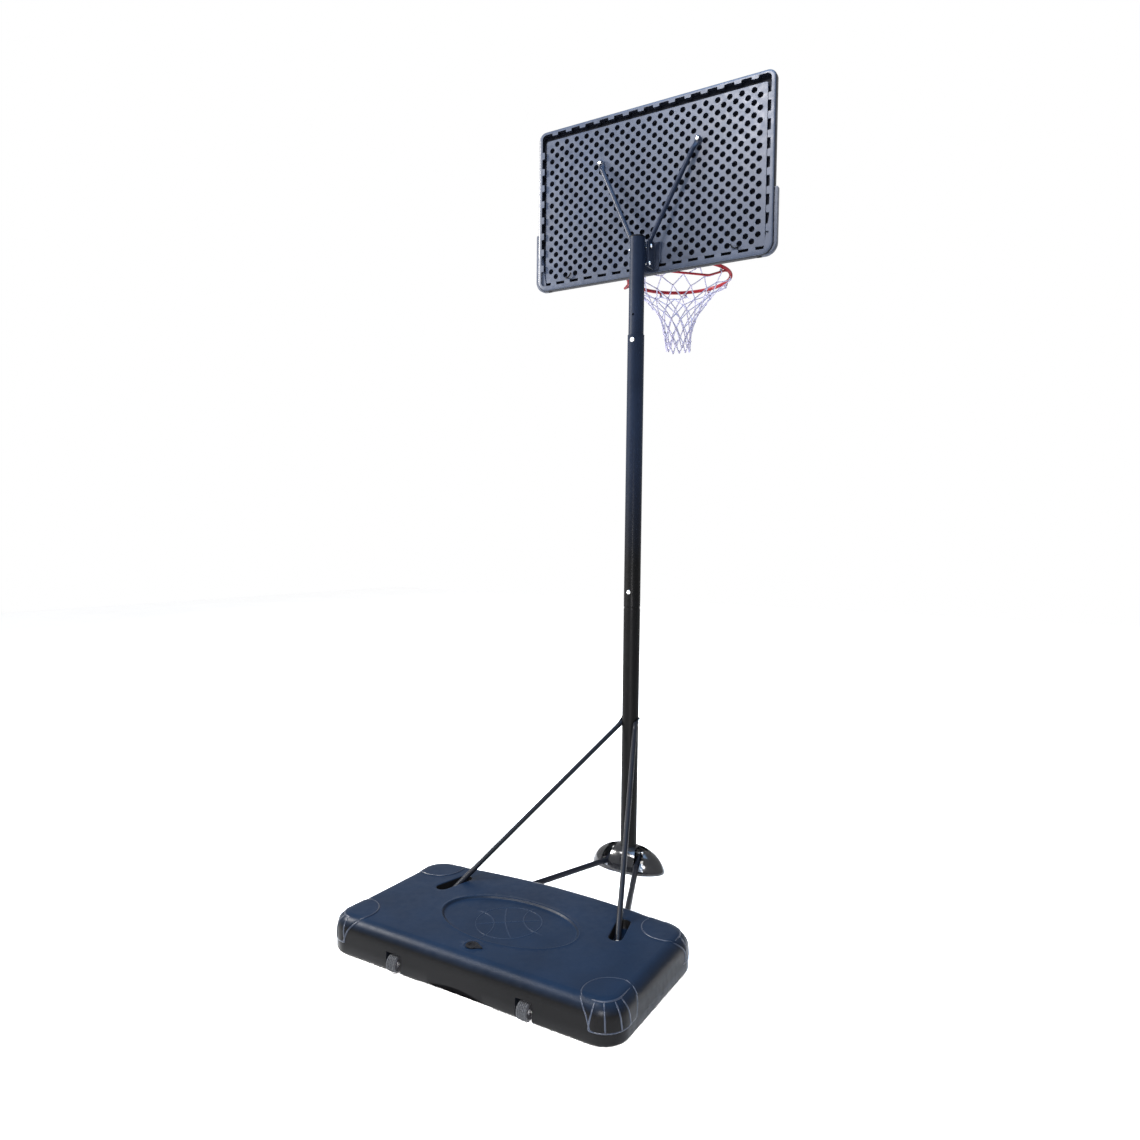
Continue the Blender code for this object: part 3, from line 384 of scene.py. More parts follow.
class Build:
    """Collects faces of one piece, each with a material number, and makes its object.

    Points are measured from the foot of the pole's axis.
    """

    def __init__(self):
        self.verts = []
        self.faces = []
        self.slots = []

    def add(self, verts, faces, slot=0):
        start = len(self.verts)
        self.verts.extend(tuple(v) for v in verts)
        for face in faces:
            self.faces.append([start + i for i in face])
            self.slots.append(slot)

    def loft(self, rings, slot=0, wrap=False, caps=True, slots=None):
        """Bridge rings of equal count; wrap joins the last ring to the first."""
        count = len(rings[0])
        rows = len(rings)
        faces = []
        marks = []
        for r in range(rows if wrap else rows - 1):
            a = r * count
            b = (r + 1) % rows * count
            for k in range(count):
                n = (k + 1) % count
                faces.append((a + k, a + n, b + n, b + k))
                marks.append(slots[r] if slots else slot)
        if caps and not wrap:
            faces.append(tuple(range(count - 1, -1, -1)))
            faces.append(tuple(range((rows - 1) * count, rows * count)))
            marks += [slots[0], slots[-1]] if slots else [slot, slot]
        start = len(self.verts)
        self.verts.extend(tuple(v) for ring in rings for v in ring)
        for face, mark in zip(faces, marks):
            self.faces.append([start + i for i in face])
            self.slots.append(mark)

    def tube(self, path, radius, sides=10, slot=0, closed=False):
        """A round rod along points; radius is one number or one per point."""
        self.loft(tube_rings(path, radius, sides, closed), slot, wrap=closed, caps=not closed)

    def make(self, name, mats, body, replaces=(), angle=35, weld=None):
        mesh = bpy.data.meshes.new(name)
        mesh.from_pydata(self.verts, [], self.faces)
        mesh.transform(Matrix.Translation(POLE))
        for mat in mats:
            mesh.materials.append(mat)
        mesh.polygons.foreach_set("material_index", self.slots)
        bm = bmesh.new()
        bm.from_mesh(mesh)
        if weld:
            bmesh.ops.remove_doubles(bm, verts=bm.verts, dist=weld)
        bmesh.ops.recalc_face_normals(bm, faces=bm.faces)
        bm.to_mesh(mesh)
        bm.free()
        ob = bpy.data.objects.new(name, mesh)
        bpy.context.collection.objects.link(ob)
        mesh.shade_smooth()
        mesh.set_sharp_from_angle(angle=math.radians(angle))
        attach(ob, body)
        if replaces:
            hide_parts(*replaces)
        return ob


def plan_circle(cx, cy, radius, count, start=0.0, squash=1.0):
    return [(cx + radius * math.cos(start + TAU * k / count),
             cy + radius * squash * math.sin(start + TAU * k / count)) for k in range(count)]


def ring_of(radius, z, count, squash=1.0):
    return [(x, y, z) for x, y in plan_circle(0, 0, radius, count, 0.0, squash)]


def tube_rings(path, radius, sides, closed=False):
    """Rings along a path with a carried frame, so that the tube doesn't twist."""
    pts = [Vector(p) for p in path]
    count = len(pts)
    radii = [radius] * count if isinstance(radius, (int, float)) else list(radius)
    runs = []
    for k in range(count):
        if closed:
            runs.append((pts[(k + 1) % count] - pts[k - 1]).normalized())
        else:
            runs.append((pts[min(k + 1, count - 1)] - pts[max(k - 1, 0)]).normalized())
    side = runs[0].orthogonal().normalized()
    frames = []
    for k in range(count):
        if k:
            side = runs[k - 1].rotation_difference(runs[k]) @ side
        side = (side - runs[k] * side.dot(runs[k])).normalized()
        frames.append(side.copy())
    slip = 0.0
    if closed:
        end = runs[-1].rotation_difference(runs[0]) @ frames[-1]
        slip = math.atan2(end.cross(frames[0]).dot(runs[0]), end.dot(frames[0]))
    rings = []
    for k in range(count):
        turn_k = slip * k / count
        up = runs[k].cross(frames[k])
        ring = []
        for n in range(sides):
            a = TAU * n / sides + turn_k
            ring.append(pts[k] + (frames[k] * math.cos(a) + up * math.sin(a)) * radii[k])
        rings.append(ring)
    return rings


def smooth_path(points, steps):
    """Catmull-Rom curve through points."""
    pts = [Vector(p) for p in points]
    last = len(pts) - 1
    out = []
    for k in range(last):
        p0, p1, p2, p3 = (pts[min(max(k + d, 0), last)] for d in (-1, 0, 1, 2))
        for s in range(steps):
            t = s / steps
            out.append(0.5 * ((2 * p1) + (p2 - p0) * t + (2 * p0 - 5 * p1 + 4 * p2 - p3) * t * t
                              + (3 * p1 - p0 - 3 * p2 + p3) * t ** 3))
    out.append(pts[-1])
    return out


def carve(ob, cutters, keep_sharp=35):
    """Cut closed shapes out of a piece, for good."""
    joined = bpy.data.meshes.new("carver")
    joined.from_pydata(cutters.verts, [], cutters.faces)
    joined.polygons.foreach_set("material_index", cutters.slots)
    joined.transform(Matrix.Translation(POLE))
    bm = bmesh.new()
    bm.from_mesh(joined)
    bmesh.ops.recalc_face_normals(bm, faces=bm.faces)
    bm.to_mesh(joined)
    bm.free()
    for mat in ob.data.materials:
        joined.materials.append(mat)
    tool = bpy.data.objects.new("carver", joined)
    bpy.context.collection.objects.link(tool)
    step = ob.modifiers.new("carve", 'BOOLEAN')
    step.operation = 'DIFFERENCE'
    step.solver = 'EXACT'
    step.object = tool
    dg = bpy.context.evaluated_depsgraph_get()
    result = bpy.data.meshes.new_from_object(ob.evaluated_get(dg))
    ob.modifiers.clear()
    ob.data = result
    bpy.data.objects.remove(tool, do_unlink=True)
    result.shade_smooth()
    result.set_sharp_from_angle(angle=math.radians(keep_sharp))


# turns that bring the Z axis onto another one
AXIS_TURNS = {'Z': Matrix.Identity(3), '-Z': Matrix.Rotation(math.pi, 3, 'X'),
              'X': Matrix.Rotation(math.pi / 2, 3, 'Y'), '-X': Matrix.Rotation(-math.pi / 2, 3, 'Y'),
              'Y': Matrix.Rotation(-math.pi / 2, 3, 'X'), '-Y': Matrix.Rotation(math.pi / 2, 3, 'X')}


def turned_rings(profile, count, axis='Z', at=(0, 0, 0)):
    """Rings of a body of revolution; the profile is (radius, height)."""
    spin = AXIS_TURNS[axis]
    at = Vector(at)
    return [[at + spin @ Vector(p) for p in ring_of(r, z, count)] for r, z in profile]


SIDES = (("left", 1), ("right", -1))


def smoothstep(low, high, value):
    t = min(max((value - low) / (high - low), 0.0), 1.0)
    return t * t * (3 - 2 * t)


def prism(build, plan, low, high, slot=0, axis='Z'):
    """A straight block over a flat outline, along Z, X or Y."""
    place = {'Z': lambda a, b, c: (a, b, c), 'X': lambda a, b, c: (c, a, b), 'Y': lambda a, b, c: (a, c, b)}
    put = place[axis]
    build.loft([[put(a, b, low) for a, b in plan], [put(a, b, high) for a, b in plan]], slot)


def fill_plan(loops, inside, spare, height):
    """Triangles over a flat region: outer and inner outlines, spare points inside, and a height rule."""
    points = []
    edges = []
    for loop in loops:
        start = len(points)
        points += [Vector(p) for p in loop]
        edges += [(start + k, start + (k + 1) % len(loop)) for k in range(len(loop))]
    points += [Vector(p) for p in spare]
    out_points, _, triangles, *_ = delaunay_2d_cdt(points, edges, [], 0, 1e-6)
    kept = []
    for tri in triangles:
        mid = sum((out_points[k] for k in tri), Vector((0, 0))) / len(tri)
        if inside(mid.x, mid.y):
            kept.append(tuple(tri))
    return [(p.x, p.y, height(p.x, p.y)) for p in out_points], kept


BEAD_SINK = 0.0006


def seam_bead(build, tree, guide, width, height, slot):
    """A moulded line: a low rounded ridge that follows a surface under the guide points."""
    spots = []
    for p in guide:
        at, normal, _, _ = tree.find_nearest(Vector(p))
        spots.append((at, normal))
    rings = []
    count = len(spots)
    for k, (at, normal) in enumerate(spots):
        run = (spots[min(k + 1, count - 1)][0] - spots[max(k - 1, 0)][0]).normalized()
        across = normal.cross(run).normalized()
        end = min(k, count - 1 - k) / max(count - 1, 1)
        taper = 0.35 + 0.65 * smoothstep(0.0, 0.10, end)
        ring = [at + across * (width / 2 * taper) * math.cos(a) + normal * height * taper * math.sin(a)
                for a in [math.pi * n / 6 for n in range(7)]]
        foot = across * width * 0.4 * taper
        under = normal * BEAD_SINK
        ring += [at - foot - under, at + foot - under]
        rings.append(ring)
    build.loft(rings, slot)


# ------------------------------------------------------------------ base tank
BASE_HALF = 0.556
BASE_REAR = 1.1845
BASE_FRONT = 0.552
BASE_BOW = 0.046
BASE_TOP = 0.122
REAR_CORNER = 0.085
FRONT_CORNER = 0.100
TANK_ROWS = ((0.0, 0.014), (0.0015, 0.008), (0.004, 0.004), (0.012, 0.0), (0.042, 0.0006), (0.044, 0.0007),
             (0.046, 0.0008), (0.048, 0.0009), (0.062, 0.0016), (0.074, 0.0022), (0.084, 0.0034),
             (0.092, 0.0056), (0.099, 0.0088), (0.1050, 0.0130), (0.1100, 0.0180), (0.1145, 0.0240),
             (0.1180, 0.0300), (0.1203, 0.0365), (0.1216, 0.0425), (0.122, 0.048))
OVAL_Y = 0.896
OVAL_A = 0.258
OVAL_B = 0.155
SLOT_ENDS = (Vector((0.333, 0.702)), Vector((0.358, 0.806)))
SLOT_HALF = 0.023
SLOT_DEPTH = 0.034
FILLER_Y = 1.098
WHEEL_X = 0.2525
WHEEL_Y = BASE_REAR - 0.012
BALLS = [(side * x, y, r) for side in (1, -1) for x, y, r in ((0.500, 1.110, 0.085), (0.478, 0.664, 0.088))]
BALL_BASE = 0.045
BALL_LIFT = 0.0026
CROSS_Z = 0.1165          # height of the cross line on a ball
ARCH_HALF = 0.20
ARCH_HEIGHT = 0.014
LIP_HALF = 0.205
LIP_HEIGHT = 0.025
LIP_DEPTH = 0.010
# plan of a lower strut's straight run, from the pole foot to the tank
LOWER_STRUT_RUN = ((0.066, 0.055), (0.300, 0.655))


def fine_ends(a, b, fine=0.003, coarse=0.016, reach=0.055):
    """Stations from a to b, close together near both ends."""
    length = abs(b - a)
    sign = 1 if b > a else -1
    out = []
    at = 0.0
    while at < length - 1e-6:
        out.append(a + sign * at)
        near = min(at, length - at)
        at += fine if near < reach or length - at < reach + coarse else coarse
    return out


def tank_outline(inset, corner_steps=36):
    ring = []
    rear = REAR_CORNER - inset
    rear_x = BASE_HALF - REAR_CORNER
    rear_y = BASE_REAR - REAR_CORNER
    lean = math.atan(2 * BASE_BOW / (BASE_HALF - FRONT_CORNER))
    join_x = BASE_HALF - FRONT_CORNER + FRONT_CORNER * math.sin(lean)
    front = FRONT_CORNER - inset
    front_x = BASE_HALF - FRONT_CORNER
    front_y = BASE_FRONT + BASE_BOW + FRONT_CORNER * math.cos(lean)
    sweep = math.pi / 2 - lean

    def arc(cx, cy, radius, start, span):
        for k in range(corner_steps):
            a = start + span * k / corner_steps
            ring.append((cx + radius * math.cos(a), cy + radius * math.sin(a)))

    arc(rear_x, rear_y, rear, 0.0, math.pi / 2)
    ring.extend((x, BASE_REAR - inset) for x in fine_ends(rear_x, -rear_x))
    arc(-rear_x, rear_y, rear, math.pi / 2, math.pi / 2)
    ring.extend((-BASE_HALF + inset, y) for y in fine_ends(rear_y, front_y))
    arc(-front_x, front_y, front, math.pi, sweep)
    for x in fine_ends(-join_x, join_x):
        ring.append((x, BASE_FRONT + BASE_BOW * (x / join_x) ** 2 + inset))
    arc(front_x, front_y, front, TAU - sweep, sweep)
    ring.extend((BASE_HALF - inset, y) for y in fine_ends(front_y, rear_y))
    return ring


def wall_inset(z):
    """The wall's inset at one height, between the rows of the tank's profile."""
    for (z1, i1), (z2, i2) in zip(TANK_ROWS, TANK_ROWS[1:]):
        if z1 <= z <= z2:
            return i1 + (i2 - i1) * (z - z1) / (z2 - z1)
    return TANK_ROWS[-1][1]


def ball_radius(radius, z):
    """A corner ball narrows a little below the tank's top."""
    return radius - 0.10 * max(0.115 - z, 0.0)


def ball_share(x, y, z):
    """How far a point is inside one of the four ball-shaped corners, from 0 to 1."""
    share = 0.0
    for bx, by, radius in BALLS:
        wide = ball_radius(radius, z)
        share = max(share, 1 - smoothstep(wide - 0.0035, wide + 0.001, math.hypot(x - bx, y - by)))
    return share * smoothstep(BALL_BASE - 0.002, BALL_BASE + 0.002, z)


def in_slot(x, y, side, grow):
    a, b = (Vector((side * p.x, p.y)) for p in SLOT_ENDS)
    p = Vector((x, y))
    t = min(max((p - a).dot(b - a) / (b - a).length_squared, 0.0), 1.0)
    return (p - a - (b - a) * t).length < SLOT_HALF + grow


def slot_outline(side, grow, count=28):
    a, b = (Vector((side * p.x, p.y)) for p in SLOT_ENDS)
    along = (b - a).normalized()
    across = Vector((-along.y, along.x))
    ring = []
    for middle_point, start in ((b, -math.pi / 2), (a, math.pi / 2)):
        for k in range(count // 2 + 1):
            turn_k = start + math.pi * k / (count // 2)
            p = middle_point + (along * math.cos(turn_k) + across * math.sin(turn_k)) * (SLOT_HALF + grow)
            ring.append((p.x, p.y))
    return ring


def oval_outline(grow, count=96):
    return [(x, OVAL_Y + y) for x, y in plan_circle(0, 0, OVAL_A + grow, count, 0.0,
                                                   (OVAL_B + grow) / (OVAL_A + grow))]


def top_height(x, y):
    return BASE_TOP + BALL_LIFT * ball_share(x, y, BASE_TOP)


def tank():
    build = Build()
    rings = []
    for z, inset in TANK_ROWS:
        ring = []
        for x, y in tank_outline(inset):
            share = ball_share(x, y, z)
            if share > 0:
                steep = 1 - smoothstep(0.085, 0.118, z)
                away = Vector((x * 0.6, y - 0.87, 0)).normalized()
                x += away.x * BALL_LIFT * share * steep
                y += away.y * BALL_LIFT * share * steep
                ring.append((x, y, z + BALL_LIFT * share * (1 - steep)))
            else:
                ring.append((x, y, z))
        rings.append(ring)
    build.loft(rings, caps=False)
    build.add(rings[0], [tuple(range(len(rings[0]) - 1, -1, -1))])

    oval_rows = ((0.0075, 0.0), (0.0045, 0.0007), (0.0018, 0.0011), (-0.0004, 0.0005), (-0.0024, -0.0014),
                 (-0.0055, -0.0050), (-0.0082, -0.0070), (-0.0115, -0.0078), (-0.018, -0.0080))
    slot_rows = ((0.0045, 0.0), (0.0026, -0.0004), (0.0010, -0.0016), (0.0, -0.0040), (-0.001, -0.030),
                 (-0.0035, -SLOT_DEPTH + 0.0006), (-0.007, -SLOT_DEPTH))
    cap_rows = ((0.0335, 0.0), (0.0315, 0.0010), (0.0290, 0.0015), (0.0262, 0.0010), (0.0245, 0.0),
                (0.0165, 0.0), (0.0152, -0.0010), (0.0150, -0.008))
    edge = [(p[0], p[1]) for p in rings[-1]]
    loops = [edge, oval_outline(oval_rows[0][0]), slot_outline(1, slot_rows[0][0]),
             slot_outline(-1, slot_rows[0][0]), plan_circle(0, FILLER_Y, cap_rows[0][0], 40)]
    grow_oval = oval_rows[0][0]

    def open_top(x, y):
        in_oval = (x / (OVAL_A + grow_oval)) ** 2 + ((y - OVAL_Y) / (OVAL_B + grow_oval)) ** 2 < 1
        in_cap = math.hypot(x, y - FILLER_Y) < cap_rows[0][0]
        return not (in_oval or in_cap or in_slot(x, y, 1, slot_rows[0][0])
                    or in_slot(x, y, -1, slot_rows[0][0]))

    def in_edge(x, y):
        inset = TANK_ROWS[-1][1] + 0.004
        if not (abs(x) < BASE_HALF - inset and y < BASE_REAR - inset):
            return False
        bow_y = BASE_FRONT + BASE_BOW * (x / (BASE_HALF - FRONT_CORNER)) ** 2 + inset
        if y < bow_y:
            return False
        cx = BASE_HALF - REAR_CORNER
        cy = BASE_REAR - REAR_CORNER
        if abs(x) > cx and y > cy and math.hypot(abs(x) - cx, y - cy) > REAR_CORNER - inset:
            return False
        fx = BASE_HALF - FRONT_CORNER
        fy = BASE_FRONT + BASE_BOW + FRONT_CORNER * 0.98
        if abs(x) > fx and y < fy and math.hypot(abs(x) - fx, y - fy) > FRONT_CORNER - inset:
            return False
        return True

    spare = []
    step = 0.018
    for i in range(-30, 31):
        for j in range(0, 40):
            x, y = i * step, BASE_FRONT + 0.03 + j * step
            if in_edge(x, y) and open_top(x, y):
                spare.append((x, y))
    for bx, by, radius in BALLS:
        for grow in (-0.006, -0.0040, -0.0028, -0.0014, 0.0, 0.0012, 0.003):
            for x, y in plan_circle(bx, by, radius + grow, 120):
                if in_edge(x, y) and open_top(x, y):
                    spare.append((x, y))
    verts, faces = fill_plan(loops, lambda x, y: open_top(x, y) and inside_loop(x, y, edge), spare,
                             top_height)
    build.add(verts, faces)

    def sink_rows(outline, rows):
        stack = [[(x, y, BASE_TOP + dz) for x, y in outline(grow)] for grow, dz in rows]
        build.loft(stack, caps=False)
        build.add(stack[-1], [tuple(range(len(stack[-1])))])

    floor_rows = [(-0.018 - 0.014 * k, -0.0080 + 0.0022 * smoothstep(0, 9, k)) for k in range(1, 10)]
    sink_rows(oval_outline, list(oval_rows) + floor_rows)
    for _, side in SIDES:
        sink_rows(lambda grow: slot_outline(side, grow), slot_rows)
    sink_rows(lambda r: plan_circle(0, FILLER_Y, r, 40), cap_rows)
    ob = build.make("tank_shell", [mat_tank, mat_rib, mat_arch_shade], "base", ("base_tank",),
                    weld=0.0002)

    cutters = Build()
    for _, side in SIDES:
        x = side * WHEEL_X
        front, top, r = WHEEL_Y - 0.036, 0.064, 0.008
        profile = [(BASE_REAR + 0.03, -0.02), (BASE_REAR + 0.03, top), (front + r, top)]
        profile += [(front + r - r * math.sin(a), top - r + r * math.cos(a))
                    for a in (0.4, 0.8, 1.2)] + [(front, top - r), (front, -0.02)]
        prism(cutters, profile, x - 0.030, x + 0.030, 1, 'X')
        a, b = (Vector((side * p[0], p[1], 0)) for p in LOWER_STRUT_RUN)
        along = (b - a).normalized()
        across = Vector((-along.y, along.x, 0)) * 0.017
        start, end = a + along * 0.40, a + along * ((0.688 - a.y) / along.y)
        plan = [start - across, end - across, end + across, start + across]
        prism(cutters, [(p.x, p.y) for p in plan], -0.01, 0.046, 1)
    arch = arch_section(ARCH_HALF, ARCH_HEIGHT, 32)
    # the arch's inside faces take slot 2, the near-black painted shade
    prism(cutters, arch, BASE_REAR - LIP_DEPTH - 0.002, BASE_REAR + 0.02, 2, 'Y')
    carve(ob, cutters)
    # the wall above the arch turns under in a shallow lip, lined near-black as painted shade
    undercut = Build()
    lip = arch_section(LIP_HALF, LIP_HEIGHT, 40)
    prism(undercut, lip, BASE_REAR - LIP_DEPTH, BASE_REAR + 0.02, 2, 'Y')
    carve(ob, undercut)
    return ob


def arch_section(half, height, steps):
    """A smooth hump that opens downward, across X and up Z."""
    section = [(half, -0.01)]
    for k in range(steps + 1):
        x = half - 2 * half * k / steps
        section.append((x, 0.0004 + height * math.cos(math.pi * x / (2 * half)) ** 2))
    section.append((-half, -0.01))
    return section


def inside_loop(x, y, loop):
    """Even-odd test of a point against an outline."""
    hit = False
    for k in range(len(loop)):
        x1, y1 = loop[k - 1]
        x2, y2 = loop[k]
        if (y1 > y) != (y2 > y) and x < (x2 - x1) * (y - y1) / (y2 - y1) + x1:
            hit = not hit
    return hit


def tank_lines(shell):
    """Moulded seam lines on the ball corners, and the ball emblem in the oval."""
    verts = [v.co - POLE for v in shell.data.vertices]
    faces = [tuple(p.vertices) for p in shell.data.polygons]
    tree = BVHTree.FromPolygons(verts, faces)
    build = Build()

    def line(points, width=0.0052, height=0.0019, slot=0):
        seam_bead(build, tree, smooth_path(points, 6), width, height, slot)

    for bx, by, radius in BALLS:
        sx = 1 if bx > 0 else -1
        rear = by > 0.9
        sy = 1 if rear else -1
        wall_x = BASE_HALF
        wall_y = BASE_REAR if rear else BASE_FRONT + BASE_BOW * 0.62

        # circle on the top
        a_side = math.acos((wall_x - 0.030 - abs(bx)) / radius)
        a_end = math.acos(min((abs(wall_y - by) - 0.026) / radius, 0.98))
        start = -sy * a_side
        stop = sy * (math.pi / 2 + a_end) - sy * TAU
        span = stop - start
        top = []
        for k in range(29):
            a = start + span * k / 28
            top.append((bx + sx * radius * math.cos(a), by + radius * math.sin(a), BASE_TOP + 0.002))
        line(top)
        # sides of the ball down both walls
        zs = [0.118 - (0.118 - BALL_BASE) * k / 8 for k in range(9)]
        side_line, end_line = [], []
        for z in zs:
            r = ball_radius(radius, z)
            out_x = wall_x - wall_inset(z)
            out_y = wall_y - sy * wall_inset(z)
            dx = min(abs(out_x - abs(bx)) / r, 0.995)
            side_line.append((sx * (out_x + 0.002), by - sy * r * math.sqrt(1 - dx * dx), z))
            dy = min(abs(out_y - by) / r, 0.995)
            end_line.append((bx - sx * r * math.sqrt(1 - dy * dy), out_y + sy * 0.002, z))
        line(side_line)
        line(end_line)
        # bottom line and the seam across the rounded edge, round the corner
        corner = REAR_CORNER if rear else FRONT_CORNER
        cx = sx * (BASE_HALF - corner)
        cy = (BASE_REAR - corner) if rear else (BASE_FRONT + BASE_BOW + corner * 0.98)

        def round_edge(z, inset, bend):
            """From the side wall's ball line to the end wall's, round the corner at one height."""
            out = corner - inset
            r = ball_radius(radius, z)
            first = Vector((sx * (BASE_HALF - inset), by - sy * (r * (0.74 if rear else 0.66))))
            last = Vector((bx - sx * r * (0.42 if rear else 0.52), wall_y - sy * inset))
            pts = [first]
            for k in range(13):
                a = math.pi / 2 * k / 12
                pts.append(Vector((cx + sx * out * math.cos(a), cy + sy * out * math.sin(a))))
            pts.append(last)
            return [(p.x, p.y, z - bend * math.sin(math.pi * k / (len(pts) - 1)))
                    for k, p in enumerate(pts)]

        line(round_edge(BALL_BASE, 0.0, 0.002))
        line(round_edge(CROSS_Z, 0.028, -0.0015))
        # seams from the cross line to the bottom line
        for top_turn, low_turn in ((84, 92), (60, 58), (30, 24), (6, -3)):
            seam = []
            for k in range(9):
                t = k / 8
                z = CROSS_Z + (BALL_BASE - CROSS_Z) * t
                a = math.radians(top_turn + (low_turn - top_turn) * t)
                out = corner - wall_inset(z)
                seam.append((cx + sx * out * math.cos(a), cy + sy * out * math.sin(a), z))
            line(seam)

    # generic ball in the oval: outline, straight seam, cross seam and two side arcs
    ball_r = 0.112
    lift = BASE_TOP - 0.004
    tilt = math.radians(38)

    def on_floor(u, v):
        return (u * math.cos(tilt) - v * math.sin(tilt),
                OVAL_Y + u * math.sin(tilt) + v * math.cos(tilt), lift)

    circle = [on_floor(ball_r * math.cos(TAU * k / 40), ball_r * math.sin(TAU * k / 40)) for k in range(41)]
    line(circle, 0.0044, 0.0009, 1)
    diameter = [-ball_r + 2 * ball_r * k / 8 for k in range(9)]
    line([on_floor(u, 0.0) for u in diameter], 0.0042, 0.0008, 1)
    line([on_floor(0.012 * math.cos(math.pi * (k / 8 - 0.5)), v) for k, v in enumerate(diameter)],
         0.0042, 0.0008, 1)
    for way in (1, -1):
        arc = []
        for k in range(13):
            a = math.radians(-62 + 124 * k / 12)
            arc.append(on_floor(way * (0.150 - 0.100 * math.cos(a)), 0.112 * math.sin(a)))
        line(arc, 0.0042, 0.0008, 1)
    build.make("tank_seams", [mat_seam, mat_emblem], "base")


tank_lines(tank())

# ------------------------------------------------------------------ filler cap


def filler_cap():
    build = Build()
    at = Vector((0, FILLER_Y, BASE_TOP))
    rows = [(0.0128, -0.010), (0.0145, -0.0068), (0.0145, 0.0004), (0.0205, 0.0004), (0.0212, 0.0012),
            (0.0212, 0.0030), (0.0205, 0.0040), (0.0190, 0.0045), (0.0172, 0.0044), (0.0165, 0.0034),
            (0.0125, 0.0034), (0.0114, 0.0028), (0.0108, 0.0010), (0.003, 0.0008)]
    build.loft(turned_rings(rows, 48, at=at))
    # a thin pull tab that narrows to a rounded point
    tab = [(-0.0195, 0.0125), (-0.0265, 0.0085), (-0.0345, 0.0040), (-0.0385, 0.0018), (-0.0398, 0.0),
           (-0.0385, -0.0018), (-0.0345, -0.0040), (-0.0265, -0.0085), (-0.0195, -0.0125), (-0.0165, 0.0)]
    levels = ((0.0010, 0.92), (0.0016, 1.0), (0.0034, 1.0), (0.0042, 0.93))
    build.loft([[at + Vector((x * scale, y * scale, z)) for x, y in tab] for z, scale in levels])
    build.make("cap_shell", [mat_cap], "fill_cap", ("fill_cap",))


# ------------------------------------------------------------------ wheels
CUT = 0.0018          # depth of the grooves between the ribs and of the cross cuts


def wheel(side_name, side):
    """A treaded roller: five ribs, with cross cuts staggered from rib to rib."""
    build = Build()
    centre = Vector((side * WHEEL_X, WHEEL_Y, 0.030))
    radius, half, bore, around = 0.028, 0.018, 0.0044, 96
    ribs = 5
    rib_w = (2 * half - 0.004) / ribs
    stations = [(-half + 0.0004, 0.0030, None), (-half + 0.002, 0.0010, None)]
    for r in range(ribs):
        left = -half + 0.002 + r * rib_w
        stations += [(left + 0.0008, 0.0, r), (left + rib_w - 0.0012, 0.0, r)]
        if r < ribs - 1:
            stations += [(left + rib_w - 0.0007, CUT, None), (left + rib_w + 0.0002, CUT, None)]
    stations += [(half - 0.002, 0.0010, None), (half - 0.0004, 0.0030, None)]
    rings = []

    def ring(x, drop, rib):
        out = []
        for k in range(around):
            cut = 0.0
            if rib is not None and (k + 2 * (rib % 2)) % 6 == 0:
                cut = CUT
            r = radius - drop - cut
            a = TAU * k / around
            out.append(centre + Vector((x, r * math.cos(a), r * math.sin(a))))
        return out

    def plain(x, r):
        return [centre + Vector((x, r * math.cos(TAU * k / around), r * math.sin(TAU * k / around)))
                for k in range(around)]

    face = [(0.0205, half), (0.0195, half - 0.0005), (0.0185, half - 0.0035), (0.0095, half - 0.0045),
            (0.0085, half - 0.001), (0.0075, half), (bore + 0.0006, half), (bore, half - 0.0008)]
    for r, x in reversed(face):
        rings.append(plain(-x, r))
    rings += [ring(x, drop, rib) for x, drop, rib in stations]
    for r, x in face:
        rings.append(plain(x, r))
    slots = [1] * len(face) + [0] * (len(stations) - 1) + [1] * len(face)
    build.loft(rings, wrap=True, slots=slots + [1])
    build.make("wheel_tyre_" + side_name, [mat_wheel, mat_hub], "wheel_" + side_name,
               ("wheel_" + side_name,), angle=30)


# ------------------------------------------------------------------ pole sections
POLE_R = 0.035
TOP_R = 0.032
WALL = 0.0015


def pipe(name, rows, body, node, holes=(), extra=None):
    """A tube with a bore; rows are (outer radius, height) and holes are (axis, height, radius)."""
    build = Build()
    outer = [ring_of(r, z, 80) for r, z in rows]
    inner = [ring_of(r - WALL, z, 80) for r, z in reversed(rows)]
    build.loft(outer + inner, wrap=True)
    if extra:
        extra(build)
    ob = build.make(name, [mat_pole, mat_pit], body, (node,), angle=30)
    if holes:
        cutters = Build()
        for axis, z, r in holes:
            reach = 0.05
            at = (-reach, 0, z) if axis == 'X' else (0, -reach, z)
            # the hole walls take the near-black pit material as painted shade inside the holes
            cutters.loft(turned_rings([(r, 0), (r, 2 * reach)], 24, axis, at), 1)
        carve(ob, cutters, 30)
    return ob


def rolled(z_low, z_high, radius, lip_high=True):
    """A tube's outside, with a small rolled lip at its lower end and, if asked, at its upper end."""
    lip = ((-0.0005, 0.0), (0.0002, 0.0006), (0.0003, 0.0018), (0.0, 0.0028))
    rows = [(radius + grow, z_low + rise) for grow, rise in lip]
    if lip_high:
        return rows + [(radius + grow, z_high - rise) for grow, rise in reversed(lip)]
    return rows + [(radius, z_high)]


JOINT_Z = 1.120
MIDDLE_TOP = 2.262
TOP_END = 2.664
HEIGHT_BOLT_Z = 2.237
HOLE_STEP = 0.105


